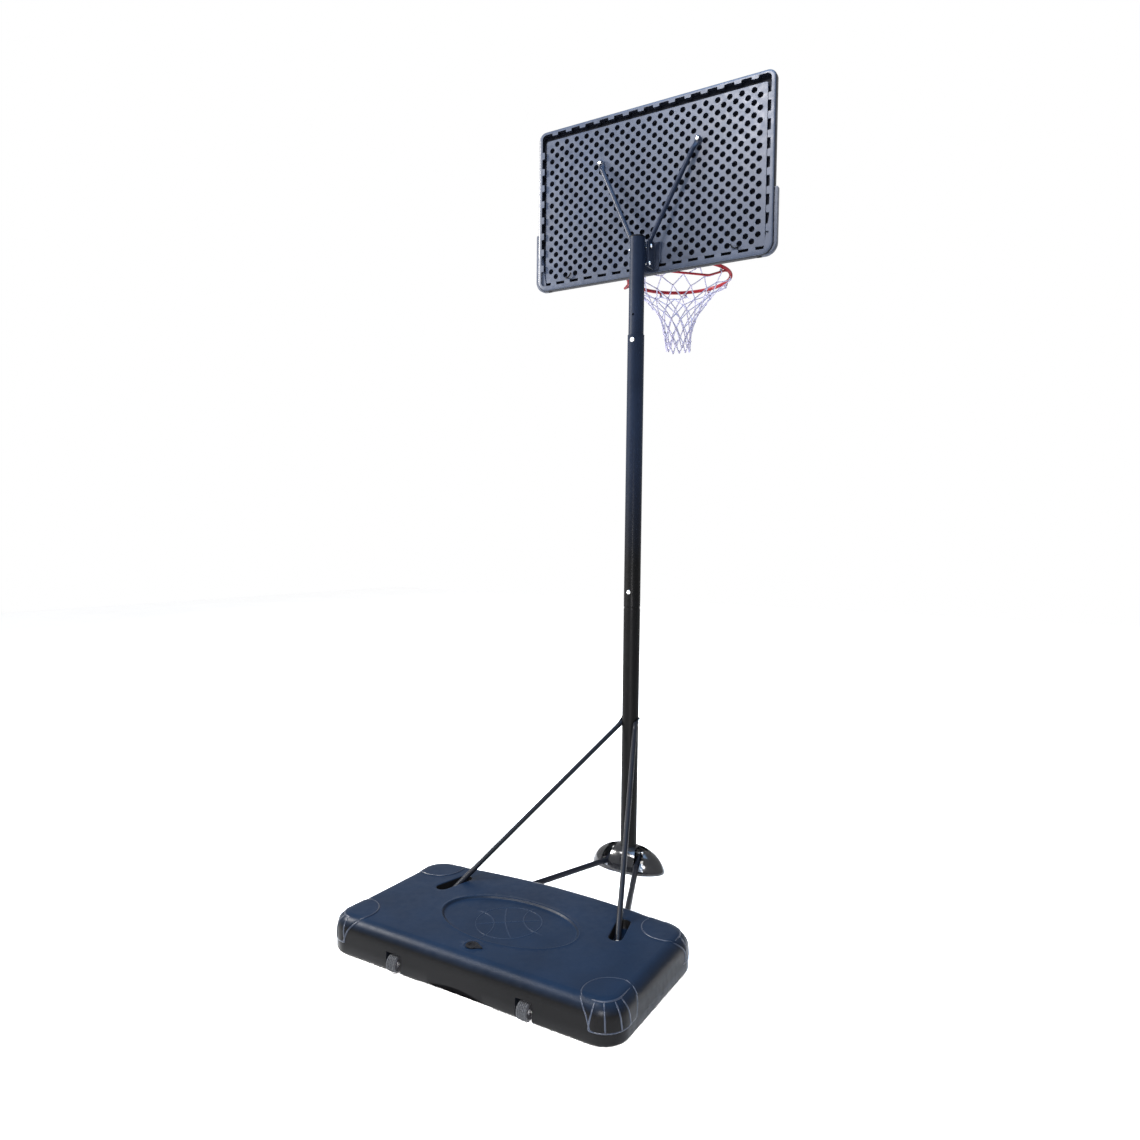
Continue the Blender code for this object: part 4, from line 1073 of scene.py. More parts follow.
def poles():
    neck = POLE_R - WALL - 0.0004
    lower = rolled(0.004, JOINT_Z - 0.012, POLE_R, lip_high=False)
    lower += [(POLE_R - 0.0006, JOINT_Z - 0.008), (neck, JOINT_Z - 0.0003), (neck, 1.225)]
    pipe("pole_lower_tube", lower, "base", "pole_lower")
    pipe("pole_middle_tube", rolled(JOINT_Z, MIDDLE_TOP, POLE_R), "base", "pole_middle")
    heights = [HEIGHT_BOLT_Z + HOLE_STEP * (1 - k) for k in range(6)]

    def lug(build):
        """The welded channel that carries the board bracket."""
        near, far, low, high = 0.0342, 0.0372, 2.549, 2.655
        front, rear, r = -0.058, -0.024, 0.006
        plan = [(far, front), (far, rear - r)]
        plan += [(far - r + r * math.cos(a), rear - r + r * math.sin(a)) for a in (0.5, 1.0, math.pi / 2)]
        inner = [(near - 0.004, rear - 0.003), (near, rear - r - 0.001), (near, front)]
        half = plan + inner
        for sx in (1, -1):
            build.loft([[(sx * x, y, z) for x, y in half] for z in (low, low + 0.001, high - 0.001, high)])
        for sx in (1, -1):
            weld = [Vector((sx * (0.0275 + 0.0008 * math.sin(k * 2.1)), -0.0225, low + 0.004 + 0.0025 * k))
                    for k in range(40)]
            build.tube(weld, [0.0023 + 0.0006 * math.sin(k * 1.7) for k in range(40)], 8)

    pipe("pole_top_tube", rolled(1.690, TOP_END, TOP_R), "head", "pole_top",
         [('Y', z, 0.0048) for z in heights], extra=lug)

    build = Build()
    bore = TOP_R - WALL
    rows = [(bore - 0.001, -0.018), (bore - 0.0003, -0.014), (bore - 0.0003, 0.0004),
            (TOP_R + 0.0010, 0.0004), (TOP_R + 0.0016, 0.0012), (TOP_R + 0.0014, 0.0035), (TOP_R - 0.0008, 0.0055),
            (TOP_R - 0.0060, 0.0068), (0.018, 0.0074), (0.006, 0.0076)]
    build.loft(turned_rings(rows, 64, at=(0, 0, TOP_END)))
    build.make("pole_cap", [mat_cap], "head", ("pole_top_cap",))


# ------------------------------------------------------------------ pole foot
FOOT_A = 0.166
FOOT_B = 0.086
FOOT_WALL = 0.0035
EAR_X = 0.0635          # middle of a lower strut's upright tab


def pole_foot():
    # share of the foot's half length, and height
    curve = ((1.0, 0.0), (1.004, 0.005), (0.985, 0.015), (0.915, 0.038), (0.80, 0.060), (0.64, 0.078),
             (0.44, 0.091), (0.27, 0.098))
    profile = smooth_path([(share, z, 0) for share, z in curve], 5)
    build = Build()
    outer = [ring_of(FOOT_A * p.x, p.y, 120, FOOT_B / FOOT_A) for p in profile]
    inner = []
    for p in reversed(profile[:-4]):
        long = FOOT_A * p.x - FOOT_WALL
        inner.append(ring_of(long, max(p.y - FOOT_WALL, 0.0), 120, (FOOT_B * p.x - FOOT_WALL) / long))
    build.loft(outer, caps=False)
    build.add(outer[-1], [tuple(range(120))])
    build.loft([outer[0]] + list(reversed(inner)), caps=False)
    build.add(inner[0], [tuple(range(119, -1, -1))])
    ob = build.make("foot_dome", [mat_foot, mat_pit], "base", ("pole_foot",), weld=0.0001, angle=40)
    cutters = Build()
    cutters.loft(turned_rings([(POLE_R + 0.0008, -0.02), (POLE_R + 0.0008, 0.12)], 64), 0)
    carve(ob, cutters, 40)
    for _, side in SIDES:
        # a channel for the strut: from beside the pole, past the ear, and out along the strut
        strut_x, strut_y = LOWER_STRUT_RUN[1]
        a = Vector((side * EAR_X, -0.026, 0))
        b = Vector((side * EAR_X, 0.030, 0))
        c = b + (Vector((side * strut_x, strut_y, 0)) - b).normalized() * 0.10
        plan = [point + Vector((side * dx, dy, 0)) for point, dx, dy in (
            (a, -0.012, -0.004), (b, -0.016, 0), (c, -0.0255, 0), (c, 0.0255, 0), (b, 0.022, 0),
            (a, 0.020, 0.002))]
        ways = Build()
        prism(ways, [(p.x, p.y) for p in plan], 0.016, 0.13, 0)
        carve(ob, ways, 40)
        star = Build()
        tip = [(side * 0.112, 0.0), (side * 0.086, 0.011), (side * 0.070, 0.026), (side * 0.068, -0.026),
               (side * 0.086, -0.011)]
        prism(star, tip, 0.060, 0.12, 0)
        carve(ob, star, 40)
    return ob


# ------------------------------------------------------------------ struts
TAB = 0.0032
GAP = 0.0003          # clearance between parts that meet


def strut(name, node, body, stations, sides=24, steps=6):
    """A round tube flattened at both ends; stations are point, wide axis, half width, half thickness."""
    points = smooth_path([s[0] for s in stations], steps)
    rings = []
    spans = len(stations) - 1
    for k, point in enumerate(points):
        t = k / steps
        i = min(int(t), spans - 1)
        f = t - i
        f = f * f * (3 - 2 * f)
        wide = stations[i][1].lerp(stations[i + 1][1], f)
        half_w = stations[i][2] + (stations[i + 1][2] - stations[i][2]) * f
        half_t = stations[i][3] + (stations[i + 1][3] - stations[i][3]) * f
        run = (points[min(k + 1, len(points) - 1)] - points[max(k - 1, 0)]).normalized()
        across = (wide - run * wide.dot(run)).normalized()
        normal = run.cross(across)
        ring = []
        for n in range(sides):
            a = TAU * n / sides
            ring.append(point + across * half_w * math.cos(a) + normal * half_t * math.sin(a))
        rings.append(ring)
    for end, far in ((0, 1), (-1, -2)):
        centre = sum(rings[end], Vector()) / sides
        push = (points[end] - points[far]).normalized() * 0.0045
        cap_ring = [centre + (p - centre) * 0.55 + push for p in rings[end]]
        if end == 0:
            rings.insert(0, cap_ring)
        else:
            rings.append(cap_ring)
    build = Build()
    build.loft(rings)
    return build.make(name, [mat_strut], body, (node,), angle=50)


def turn_to(a, b):
    return b if a.dot(b) >= 0 else -b


def struts():
    up = Vector((0, 0, 1))
    for side_name, side in SIDES:
        (near_x, near_y), (far_x, far_y) = LOWER_STRUT_RUN
        start = Vector((side * near_x, near_y, 0.034))
        end = Vector((side * far_x, far_y, 0.022))
        run = (end - start).normalized()
        ear = Vector((side * EAR_X, 0, 0.068))
        fall = (start - ear).normalized()
        flat = run.cross(up).normalized()
        wide = turn_to(flat, fall.cross(Vector((1, 0, 0))).normalized())
        level = Vector((run.x, run.y, 0)).normalized()
        tab = Vector((end.x, end.y, 0.046 - GAP - TAB))
        strut("lower_brace_" + side_name, "lower_strut_" + side_name, "base", [
            (ear - fall * 0.009, wide, 0.013, TAB), (ear + fall * 0.014, wide, 0.014, TAB),
            (ear + fall * 0.034, wide, 0.0125, 0.009), (start + run * 0.012, wide, 0.012, 0.012),
            (start + run * 0.05, wide, 0.012, 0.012), (end - run * 0.075, flat, 0.012, 0.012),
            (tab - level * 0.034 - up * 0.006, flat, 0.0140, 0.0065),
            (tab - level * 0.015, flat, 0.0150, TAB), (tab + level * 0.010, flat, 0.0140, TAB)])

        top = Vector((side * (POLE_R + GAP + TAB), 0, 0.635))
        foot = Vector((side * 0.352, 0.785, 0.088 + GAP + TAB))
        down = Vector((0, foot.y, foot.z - top.z)).normalized()
        level = Vector((foot.x - top.x, foot.y, 0)).normalized()
        flat = level.cross(up)
        wide = turn_to(flat, down.cross(Vector((1, 0, 0))))
        first = top + down * 0.055 + Vector((side * 0.006, 0, 0))
        last = foot - level * 0.040 + up * 0.018
        run = (last - first).normalized()
        strut("back_brace_" + side_name, "back_strut_" + side_name, "base", [
            (top - down * 0.009, wide, 0.0120, TAB), (top + down * 0.018, wide, 0.0125, TAB),
            (first, wide, 0.010, 0.010), (first + run * 0.03, wide, 0.010, 0.010),
            (last - run * 0.03, flat, 0.010, 0.010), (last, flat, 0.0105, 0.008),
            (foot - level * 0.016, flat, 0.0125, TAB), (foot + level * 0.009, flat, 0.0120, TAB)])

        low = Vector((side * (0.0405 + GAP + TAB), -0.037, 2.635))
        high = Vector((side * 0.2275, -0.0860 + GAP + TAB, 3.053))
        slope = Vector((high.x - low.x, 0, high.z - low.z)).normalized()
        first = low + up * 0.045 + Vector((side * 0.006, -0.004, 0))
        last = high - slope * 0.045 + Vector((0, 0.010, 0))
        run = (last - first).normalized()
        wide_low = Vector((0, 1, 0))
        wide_high = Vector((side, 0, 0))
        quarter = (wide_low + wide_high).normalized()
        strut("board_brace_" + side_name, "board_strut_" + side_name, "head", [
            (low - up * 0.009, wide_low, 0.0120, TAB), (low + up * 0.014, wide_low, 0.0125, TAB),
            (first, wide_low, 0.010, 0.010), (first + run * 0.03, quarter, 0.010, 0.010),
            (last - run * 0.03, wide_high, 0.010, 0.010), (last, wide_high, 0.0108, 0.008),
            (high - slope * 0.016, wide_high, 0.0125, TAB), (high + slope * 0.009, wide_high, 0.0120, TAB)])


# ------------------------------------------------------------------ bolts and nuts
BOLT_R = 0.0032


def node_span(node, axis):
    """The node's middle line and its two ends along an axis, from the pole's foot."""
    low, high = (Vector(c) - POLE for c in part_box(node))
    index = 'XYZ'.index(axis[-1])
    a, b = (low + high) / 2, (low + high) / 2
    a[index], b[index] = low[index], high[index]
    return (b, a) if axis[0] == '-' else (a, b)


def thread_rows(radius, start, end, pitch=0.00125, depth=0.00035):
    rows = []
    at = start
    while at + pitch <= end:
        rows += [(radius - depth, at), (radius, at + pitch * 0.5)]
        at += pitch
    rows += [(radius - depth, end - 0.0004), (radius * 0.7, end)]
    return rows


def bolt(node, axis, head=0.0075, head_h=0.005):
    """A round-headed bolt with a threaded end and a washer."""
    tail, tip = node_span(node, axis)
    under = (tip - tail).length - head_h
    rows = [(BOLT_R, 0.0)]
    if under > 0.004:
        threads = thread_rows(BOLT_R, max(under - 0.020, under * 0.4), under)
        rows = [(r, under - z) for r, z in reversed(threads)]
    rows += [(BOLT_R, under - 0.0006), (head * 0.94, under), (head, under + 0.0007)]
    for k in range(1, 9):
        a = math.pi / 2 * k / 9
        rows.append((head * math.cos(a), under + 0.0007 + (head_h - 0.0007) * math.sin(a)))
    build = Build()
    build.loft(turned_rings(rows, 32, axis, tail))
    washer = [(head * 1.02, under - 0.0001), (head * 1.16, under), (head * 1.16, under + 0.0008),
              (head * 1.00, under + 0.0010)]
    build.loft(turned_rings(washer, 32, axis, tail))
    build.make(node + "_piece", [mat_zinc], frame["nodes"][node]["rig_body"], (node,), angle=40)


def nut(node, axis, across=0.0075):
    """A hexagon nut with chamfered corners, a raised locking collar and a washer face."""
    start, tip = node_span(node, axis)
    height = (tip - start).length
    build = Build()
    rings = []
    for scale, z in ((0.84, 0.0), (0.96, 0.0002), (1.0, 0.0012), (1.0, height * 0.66),
                     (0.90, height * 0.78)):
        flat_ring = []
        for k in range(48):
            a = TAU * k / 48
            fold = (a + math.pi / 6) % (math.pi / 3) - math.pi / 6
            r = min(across * math.cos(math.pi / 6) / math.cos(fold), across * 0.985) * scale
            flat_ring.append((r * math.cos(a), r * math.sin(a), z))
        rings.append(flat_ring)
    for r, z in ((0.0058, height * 0.80), (0.0056, height * 0.96), (0.0050, height), (0.0037, height)):
        rings.append(ring_of(r, z, 48))
    spin = AXIS_TURNS[axis]
    build.loft([[start + spin @ Vector(p) for p in ring] for ring in rings])
    build.make(node + "_piece", [mat_zinc], frame["nodes"][node]["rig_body"], (node,), angle=25)


def fasteners():
    for side_name, _ in SIDES:
        bolt("lower_strut_bolt_" + side_name, '-Z')
        bolt("strut_base_bolt_" + side_name, 'Z')
        bolt("board_strut_bolt_" + side_name, '-Y')
        nut("board_strut_nut_" + side_name, 'Y')
        for level in ("low", "high"):
            bolt("rim_bolt_" + side_name + "_" + level, '-Y')
            nut("rim_nut_" + side_name + "_" + level, 'Y', 0.0070)
    bolt("foot_bolt", '-X')
    nut("foot_nut", 'X')
    bolt("back_strut_bolt", '-X')
    nut("back_strut_nut", 'X')
    bolt("pole_joint_bolt", 'Y')
    nut("pole_joint_nut", '-Y')
    bolt("height_bolt", 'Y', 0.0085, 0.006)
    for level in ("upper", "lower"):
        bolt("bracket_bolt_" + level, '-X')
        nut("bracket_nut_" + level, 'X')
    build = Build()
    start, _ = node_span("height_nut", '-Y')
    rows = [(0.0034, 0.0), (0.0034, 0.0018), (0.0076, 0.0018), (0.0078, 0.0024), (0.0078, 0.0062),
            (0.0070, 0.0078), (0.0055, 0.0100), (0.0038, 0.0118), (0.0015, 0.0126)]
    build.loft(turned_rings(rows, 32, '-Y', start))
    build.make("height_nut_piece", [mat_zinc], "base", ("height_nut",))


filler_cap()
for side_name, side in SIDES:
    wheel(side_name, side)
    axle = frame["nodes"]["wheel_axle_" + side_name]
    axle.data.materials.clear()
    axle.data.materials.append(mat_zinc)
poles()
pole_foot()
struts()
fasteners()

# ------------------------------------------------------------------ backboard
BOARD_REAR = -0.0860
BOARD_T = 0.030
BOARD_FRONT = BOARD_REAR - BOARD_T
BOARD_Z = 2.537
BOARD_H = 0.719
BOARD_HALF = 0.551
FLANGE_OUT = 0.012
FLANGE_H = 0.263
FLANGE_STEP = 0.007
# the channel's insets from the board's edge: at the sides, the bottom and the top
CHANNEL_OUTER = (0.019, 0.024, 0.014)
CHANNEL_TOOTH = (0.0315, 0.0385, 0.025)
CHANNEL_INNER = (0.036, 0.0390, 0.041)
CHANNEL_DEPTH = 0.025
FIELD_DROP = 0.010
FIELD_SOFT = 0.0012
PIT_COLUMNS = 39
PIT_ROWS = 25
PIT_MARGIN_X = 0.029
PIT_MARGIN_LOW = 0.024
PIT_MARGIN_HIGH = 0.020
PIT_R = 0.0116
PIT_DEPTH = 0.016
BOSS_R = 0.0145
STRUT_BOLT = (0.2275, 0.516)
PAD_HALF = 0.066
PAD_TOP = 0.132


def corner_arc(cx, cz, radius, start, steps):
    return [(cx + radius * math.cos(start + math.pi / 2 * k / steps),
             cz + radius * math.sin(start + math.pi / 2 * k / steps)) for k in range(steps + 1)]


def round_rect(half, low, high, corner, steps=10):
    """Anticlockwise from the lower right corner, seen with X to the right and Z up."""
    out = corner_arc(half - corner, low + corner, corner, -math.pi / 2, steps)
    out += corner_arc(half - corner, high - corner, corner, 0.0, steps)
    out += corner_arc(-half + corner, high - corner, corner, math.pi / 2, steps)
    out += corner_arc(-half + corner, low + corner, corner, math.pi, steps)
    return out


def board_outline(inset, top_corner=0.036, low_corner=0.050, steps=10):
    """Main frame of the board, without the wider lower flange."""
    half = BOARD_HALF - inset
    low, high = inset, BOARD_H - inset
    bottom = low_corner - inset
    top = top_corner - inset
    out = corner_arc(half - bottom, low + bottom, bottom, -math.pi / 2, steps)
    out += corner_arc(half - top, high - top, top, 0.0, steps)
    out += corner_arc(-half + top, high - top, top, math.pi / 2, steps)
    out += corner_arc(-half + bottom, low + bottom, bottom, math.pi, steps)
    return out


def tooth_outline():
    """The groove's outer wall: it steps in and out in regular teeth along all four sides."""
    half, low, high = BOARD_HALF, 0.0, BOARD_H
    wide_x, wide_low, wide_high = CHANNEL_OUTER
    tooth_x, tooth_low, tooth_high = CHANNEL_TOOTH
    slope = 0.0016

    def run(length, period, wide, tooth):
        """Stations along one side: distance from its middle and inset."""
        count = int(length / period)
        out = []
        for k in range(count):
            mid = (k - (count - 1) / 2) * period
            out += [(mid - period * 0.19 - slope, wide), (mid - period * 0.19, tooth),
                    (mid + period * 0.19, tooth), (mid + period * 0.19 + slope, wide)]
        return out

    side_len = BOARD_H - wide_low - wide_high - 0.06
    end_len = 2 * (BOARD_HALF - wide_x) - 0.06
    middle_z = (low + high) / 2
    out = []
    corner = 0.020
    turn_x = half - wide_x - corner
    turn_low = low + wide_low + corner
    turn_high = high - wide_high - corner
    for at, inset in run(end_len, 0.0715, wide_low, tooth_low):
        out.append((at, low + inset))
    out += corner_arc(turn_x, turn_low, corner, -math.pi / 2, 6)
    for at, inset in run(side_len, 0.0725, wide_x, tooth_x):
        out.append((half - inset, middle_z + at))
    out += corner_arc(turn_x, turn_high, corner, 0.0, 6)
    for at, inset in run(end_len, 0.0715, wide_high, tooth_high):
        out.append((-at, high - inset))
    out += corner_arc(-turn_x, turn_high, corner, math.pi / 2, 6)
    for at, inset in run(side_len, 0.0725, wide_x, tooth_x):
        out.append((-half + inset, middle_z - at))
    out += corner_arc(-turn_x, turn_low, corner, math.pi, 6)
    return out


def board():
    build = Build()

    def on_rear(plan, depth=0.0):
        return [(x, BOARD_REAR - depth, BOARD_Z + z) for x, z in plan]

    # rear frame band, between the board's edge and the toothed groove
    edge_rows = ((0.0095, 0.0), (0.0060, 0.0005), (0.0032, 0.0016), (0.0012, 0.0036), (0.0002, 0.0065),
                 (0.0, 0.0100), (0.0, BOARD_T - 0.005), (0.0010, BOARD_T - 0.0022),
                 (0.0032, BOARD_T - 0.0005), (0.0060, BOARD_T))
    rings = [on_rear(board_outline(inset), depth) for inset, depth in edge_rows]
    build.loft(rings, caps=False, slots=[0, 0, 4, 4, 4, 4, 4, 4, 4])
    build.add(rings[-1], [tuple(range(len(rings[-1])))], 1)

    teeth = tooth_outline()
    inner_x, inner_low, inner_high = CHANNEL_INNER
    field_half = BOARD_HALF - inner_x - FIELD_SOFT
    field_low = inner_low + FIELD_SOFT
    field_high = BOARD_H - inner_high - FIELD_SOFT
    inner_edge = round_rect(BOARD_HALF - inner_x, inner_low, BOARD_H - inner_high, 0.010)
    soft = round_rect(field_half, field_low, field_high, 0.009)
    outer_edge = board_outline(edge_rows[0][0])

    def flat_fill(loops, inside, slot=0, depth=0.0):
        verts, faces = fill_plan(loops, inside, [], lambda x, y: 0.0)
        build.add([(x, BOARD_REAR - depth, BOARD_Z + z) for x, z, _ in verts], faces, slot)

    def between(outer, inner):
        return lambda x, z: inside_loop(x, z, outer) and not inside_loop(x, z, inner)

    flat_fill([outer_edge, teeth], between(outer_edge, teeth))
    build.loft([on_rear(teeth), on_rear(teeth, 0.0015), on_rear(teeth, CHANNEL_DEPTH)], caps=False,
               slots=[0, 2, 2])
    flat_fill([teeth, inner_edge], between(teeth, inner_edge), 2, CHANNEL_DEPTH)
    build.loft([on_rear(inner_edge, CHANNEL_DEPTH), on_rear(inner_edge, FIELD_DROP + 0.0008),
                on_rear(soft, FIELD_DROP)], caps=False, slots=[2, 0, 0])

    # dimpled field: square cells, every second one with a deep dimple
    pitch_x = 2 * (field_half - PIT_MARGIN_X) / (PIT_COLUMNS - 1)
    pitch_z = (field_high - field_low - PIT_MARGIN_LOW - PIT_MARGIN_HIGH) / (PIT_ROWS - 1)
    grid_x = [(k - PIT_COLUMNS / 2) * pitch_x for k in range(PIT_COLUMNS + 1)]
    grid_z = [field_low + PIT_MARGIN_LOW + (k - 0.5) * pitch_z for k in range(PIT_ROWS + 1)]
    frame_plan = [(grid_x[0], z) for z in reversed(grid_z)]
    frame_plan += [(x, grid_z[0]) for x in grid_x[1:]]
    frame_plan += [(grid_x[-1], z) for z in grid_z[1:]]
    frame_plan += [(x, grid_z[-1]) for x in reversed(grid_x[1:-1])]
    flat_fill([soft, frame_plan], between(soft, frame_plan), 0, FIELD_DROP)

    def covered(x, z):
        """True where a boss or the bracket's pad leaves no room for a dimple."""
        clear = PIT_R + 0.0008
        on_boss = math.hypot(abs(x) - STRUT_BOLT[0], z - STRUT_BOLT[1]) < BOSS_R + clear
        return on_boss or (abs(x) < PAD_HALF + clear and z < PAD_TOP + clear)

    around = 20
    pit_rows = ((0.0005, 1.0), (0.0016, 0.985), (0.0040, 0.940), (0.0100, 0.86), (PIT_DEPTH - 0.003, 0.78),
                (PIT_DEPTH, 0.62))
    for i in range(PIT_COLUMNS):
        for j in range(PIT_ROWS):
            x0, x1, z0, z1 = grid_x[i], grid_x[i + 1], grid_z[j], grid_z[j + 1]
            corners = [(x1, z1), (x0, z1), (x0, z0), (x1, z0)]
            cx, cz = (x0 + x1) / 2, (z0 + z1) / 2
            if (i + j) % 2 == 0 or covered(cx, cz):
                build.add(on_rear(corners, FIELD_DROP), [(0, 1, 2, 3)])
                continue
            rim_r = min(pitch_x, pitch_z) / 2 * 0.985
            rim = plan_circle(cx, cz, rim_r, around, math.pi / 4)
            verts = on_rear(corners, FIELD_DROP) + on_rear(rim, FIELD_DROP)
            quarter = around // 4
            faces = []
            for q in range(4):
                arc = [4 + (q * quarter + n) % around for n in range(quarter + 1)]
                faces.append((q, (q + 1) % 4, *reversed(arc)))
            build.add(verts, faces)
            rows = [on_rear(rim, FIELD_DROP)]
            for depth, share in pit_rows:
                flare = (rim_r - PIT_R) * (0.45 if depth < 0.001 else 0)
                circle = plan_circle(cx, cz, PIT_R * share + flare, around, math.pi / 4)
                rows.append(on_rear(circle, FIELD_DROP + depth))
            build.loft(rows, caps=False, slots=[0, 2, 2, 2, 2, 2, 2])
            build.add(rows[-1], [tuple(range(around))], 2)

    # round bosses under the strut bolts, and a raised pad under the bracket's plate
    boss_rows = ((0.0015, FIELD_DROP + 0.0010), (0.0004, FIELD_DROP - 0.0012), (0.0, 0.0010), (-0.0012, 0.0))
    for sx in (1, -1):
        build.loft([on_rear(plan_circle(sx * STRUT_BOLT[0], STRUT_BOLT[1], BOSS_R + grow, 40), depth)
                    for grow, depth in boss_rows])
    build.loft([on_rear(round_rect(PAD_HALF + grow, field_low + 0.002 - grow, PAD_TOP + grow, 0.008, 5),
                        depth) for grow, depth in boss_rows])

    # wider flange along the lower half, set back from the rear face
    half_out = BOARD_HALF + FLANGE_OUT
    corner = 0.050
    for sx in (1, -1):
        plan = [(BOARD_HALF - 0.004, FLANGE_H - 0.001), (half_out - 0.004, FLANGE_H)]
        plan += [(half_out - 0.004 + 0.004 * math.sin(a), FLANGE_H - 0.004 + 0.004 * math.cos(a))
                 for a in (0.5, 1.0, math.pi / 2)]
        plan += [(half_out - corner + corner * math.cos(a), corner - corner * math.sin(a))
                 for a in [math.pi / 2 * k / 12 for k in range(13)]]
        plan += [(half_out - corner - 0.03, 0.0), (BOARD_HALF - 0.045, 0.004)]
        plan = [(sx * x, z) for x, z in plan]
        centre = (sx * (BOARD_HALF - 0.02), 0.10)
        rings = []
        for depth, shrink in ((FLANGE_STEP, 0.0042), (FLANGE_STEP, 0.0030),
                              (FLANGE_STEP + 0.0008, 0.0010), (FLANGE_STEP + 0.0030, 0.0),
                              (BOARD_T - 0.003, 0.0), (BOARD_T - 0.0008, 0.0010),
                              (BOARD_T, 0.0030), (BOARD_T, 0.0042)):
            ring = []
            for x, z in plan:
                pull = Vector((centre[0] - x, centre[1] - z)).normalized() * shrink
                ring.append((x + pull.x, BOARD_REAR - depth, BOARD_Z + z + pull.y))
            rings.append(ring)
        build.loft(rings)
    # two small moulded hooks near the lower corners
    for sx in (1, -1):
        path = [Vector((sx * 0.405, BOARD_REAR - FIELD_DROP - 0.001, BOARD_Z + 0.056)),
                Vector((sx * 0.402, BOARD_REAR - FIELD_DROP + 0.005, BOARD_Z + 0.050)),
                Vector((sx * 0.392, BOARD_REAR - 0.001, BOARD_Z + 0.047)),
                Vector((sx * 0.382, BOARD_REAR - 0.001, BOARD_Z + 0.053)),
                Vector((sx * 0.374, BOARD_REAR - 0.002, BOARD_Z + 0.066))]
        build.tube(smooth_path(path, 6), 0.0032, 10, slot=3)
    build.make("board_panel", [mat_board, mat_front, mat_pit, mat_cap, mat_edge], "head",
               ("backboard",), weld=0.00005, angle=30)


# ------------------------------------------------------------------ board bracket


def bent_outline(points, radius, thickness, steps=6):
    """A bent strip's outline: points along one face, rounded bends, and a constant thickness."""
    pts = [Vector(p) for p in points]
    path = [pts[0]]
    for k in range(1, len(pts) - 1):
        into = (pts[k] - pts[k - 1]).normalized()
        out = (pts[k + 1] - pts[k]).normalized()
        for n in range(steps + 1):
            t = n / steps
            path.append(pts[k] - into * radius * (1 - t) ** 2 + out * radius * t ** 2)
    path.append(pts[-1])
    offset = []
    for k, p in enumerate(path):
        run = (path[min(k + 1, len(path) - 1)] - path[max(k - 1, 0)]).normalized()
        offset.append(p + Vector((-run.y, run.x)) * thickness)
    return path + list(reversed(offset))


def bracket():
    """Bent sheet: a plate on the board with two flanges that take the pole's lug."""
    web = BOARD_REAR + GAP
    sheet = 0.003
    near, reach, half = 0.0375, -0.024, 0.062
    build = Build()
    for sx in (1, -1):
        plate = [(sx * x, y) for x, y in ((0.0, web), (half - 0.002, web), (half, web + 0.0015),
                                          (half, web + sheet), (0.0, web + sheet))]
        build.loft([[(x, y, z) for x, y in plate] for z in (2.547, 2.5475, 2.6645, 2.665)])
        bend = [(sx * (half - 0.004), web + sheet), (sx * near, web + sheet), (sx * near, reach)]
        flange = bent_outline(bend, 0.006, -sx * sheet)
        build.loft([[(p.x, p.y, z) for p in flange] for z in (2.548, 2.5485, 2.6635, 2.664)])
        for z in (2.5500, 2.6620):
            weld = Vector((sx * (near + 0.0045), web + sheet + 0.001, z))
            build.tube([weld + Vector((0, 0.0012 * k, 0)) for k in range(3)], [0.001, 0.0016, 0.001], 8)
    build.make("bracket_sheet", [mat_bracket], "head", ("board_bracket",), angle=30)


# ------------------------------------------------------------------ rim
RING_R = 0.2366
RING_ROD = 0.008
RING_Y = -0.440
RING_Z = 2.621
HOOKS = 12


def ring_point(angle, out=0.0, rise=0.0):
    radius = RING_R + out
    return Vector((radius * math.cos(angle), RING_Y + radius * math.sin(angle), RING_Z + rise))


def hook_angle(k):
    return TAU * (k + 0.5) / HOOKS


def weld_lump(build, at, run, width, length):
    """A short weld bead with ripples, lying along run."""
    run = Vector(run).normalized()
    steps = 14
    path = [Vector(at) + run * length * (k / (steps - 1) - 0.5) for k in range(steps)]
    radii = [width * (0.55 + 0.45 * math.sin(math.pi * (k + 0.5) / steps)) * (1 + 0.10 * math.sin(k * 2.4))
             for k in range(steps)]
    build.tube(path, radii, 10)


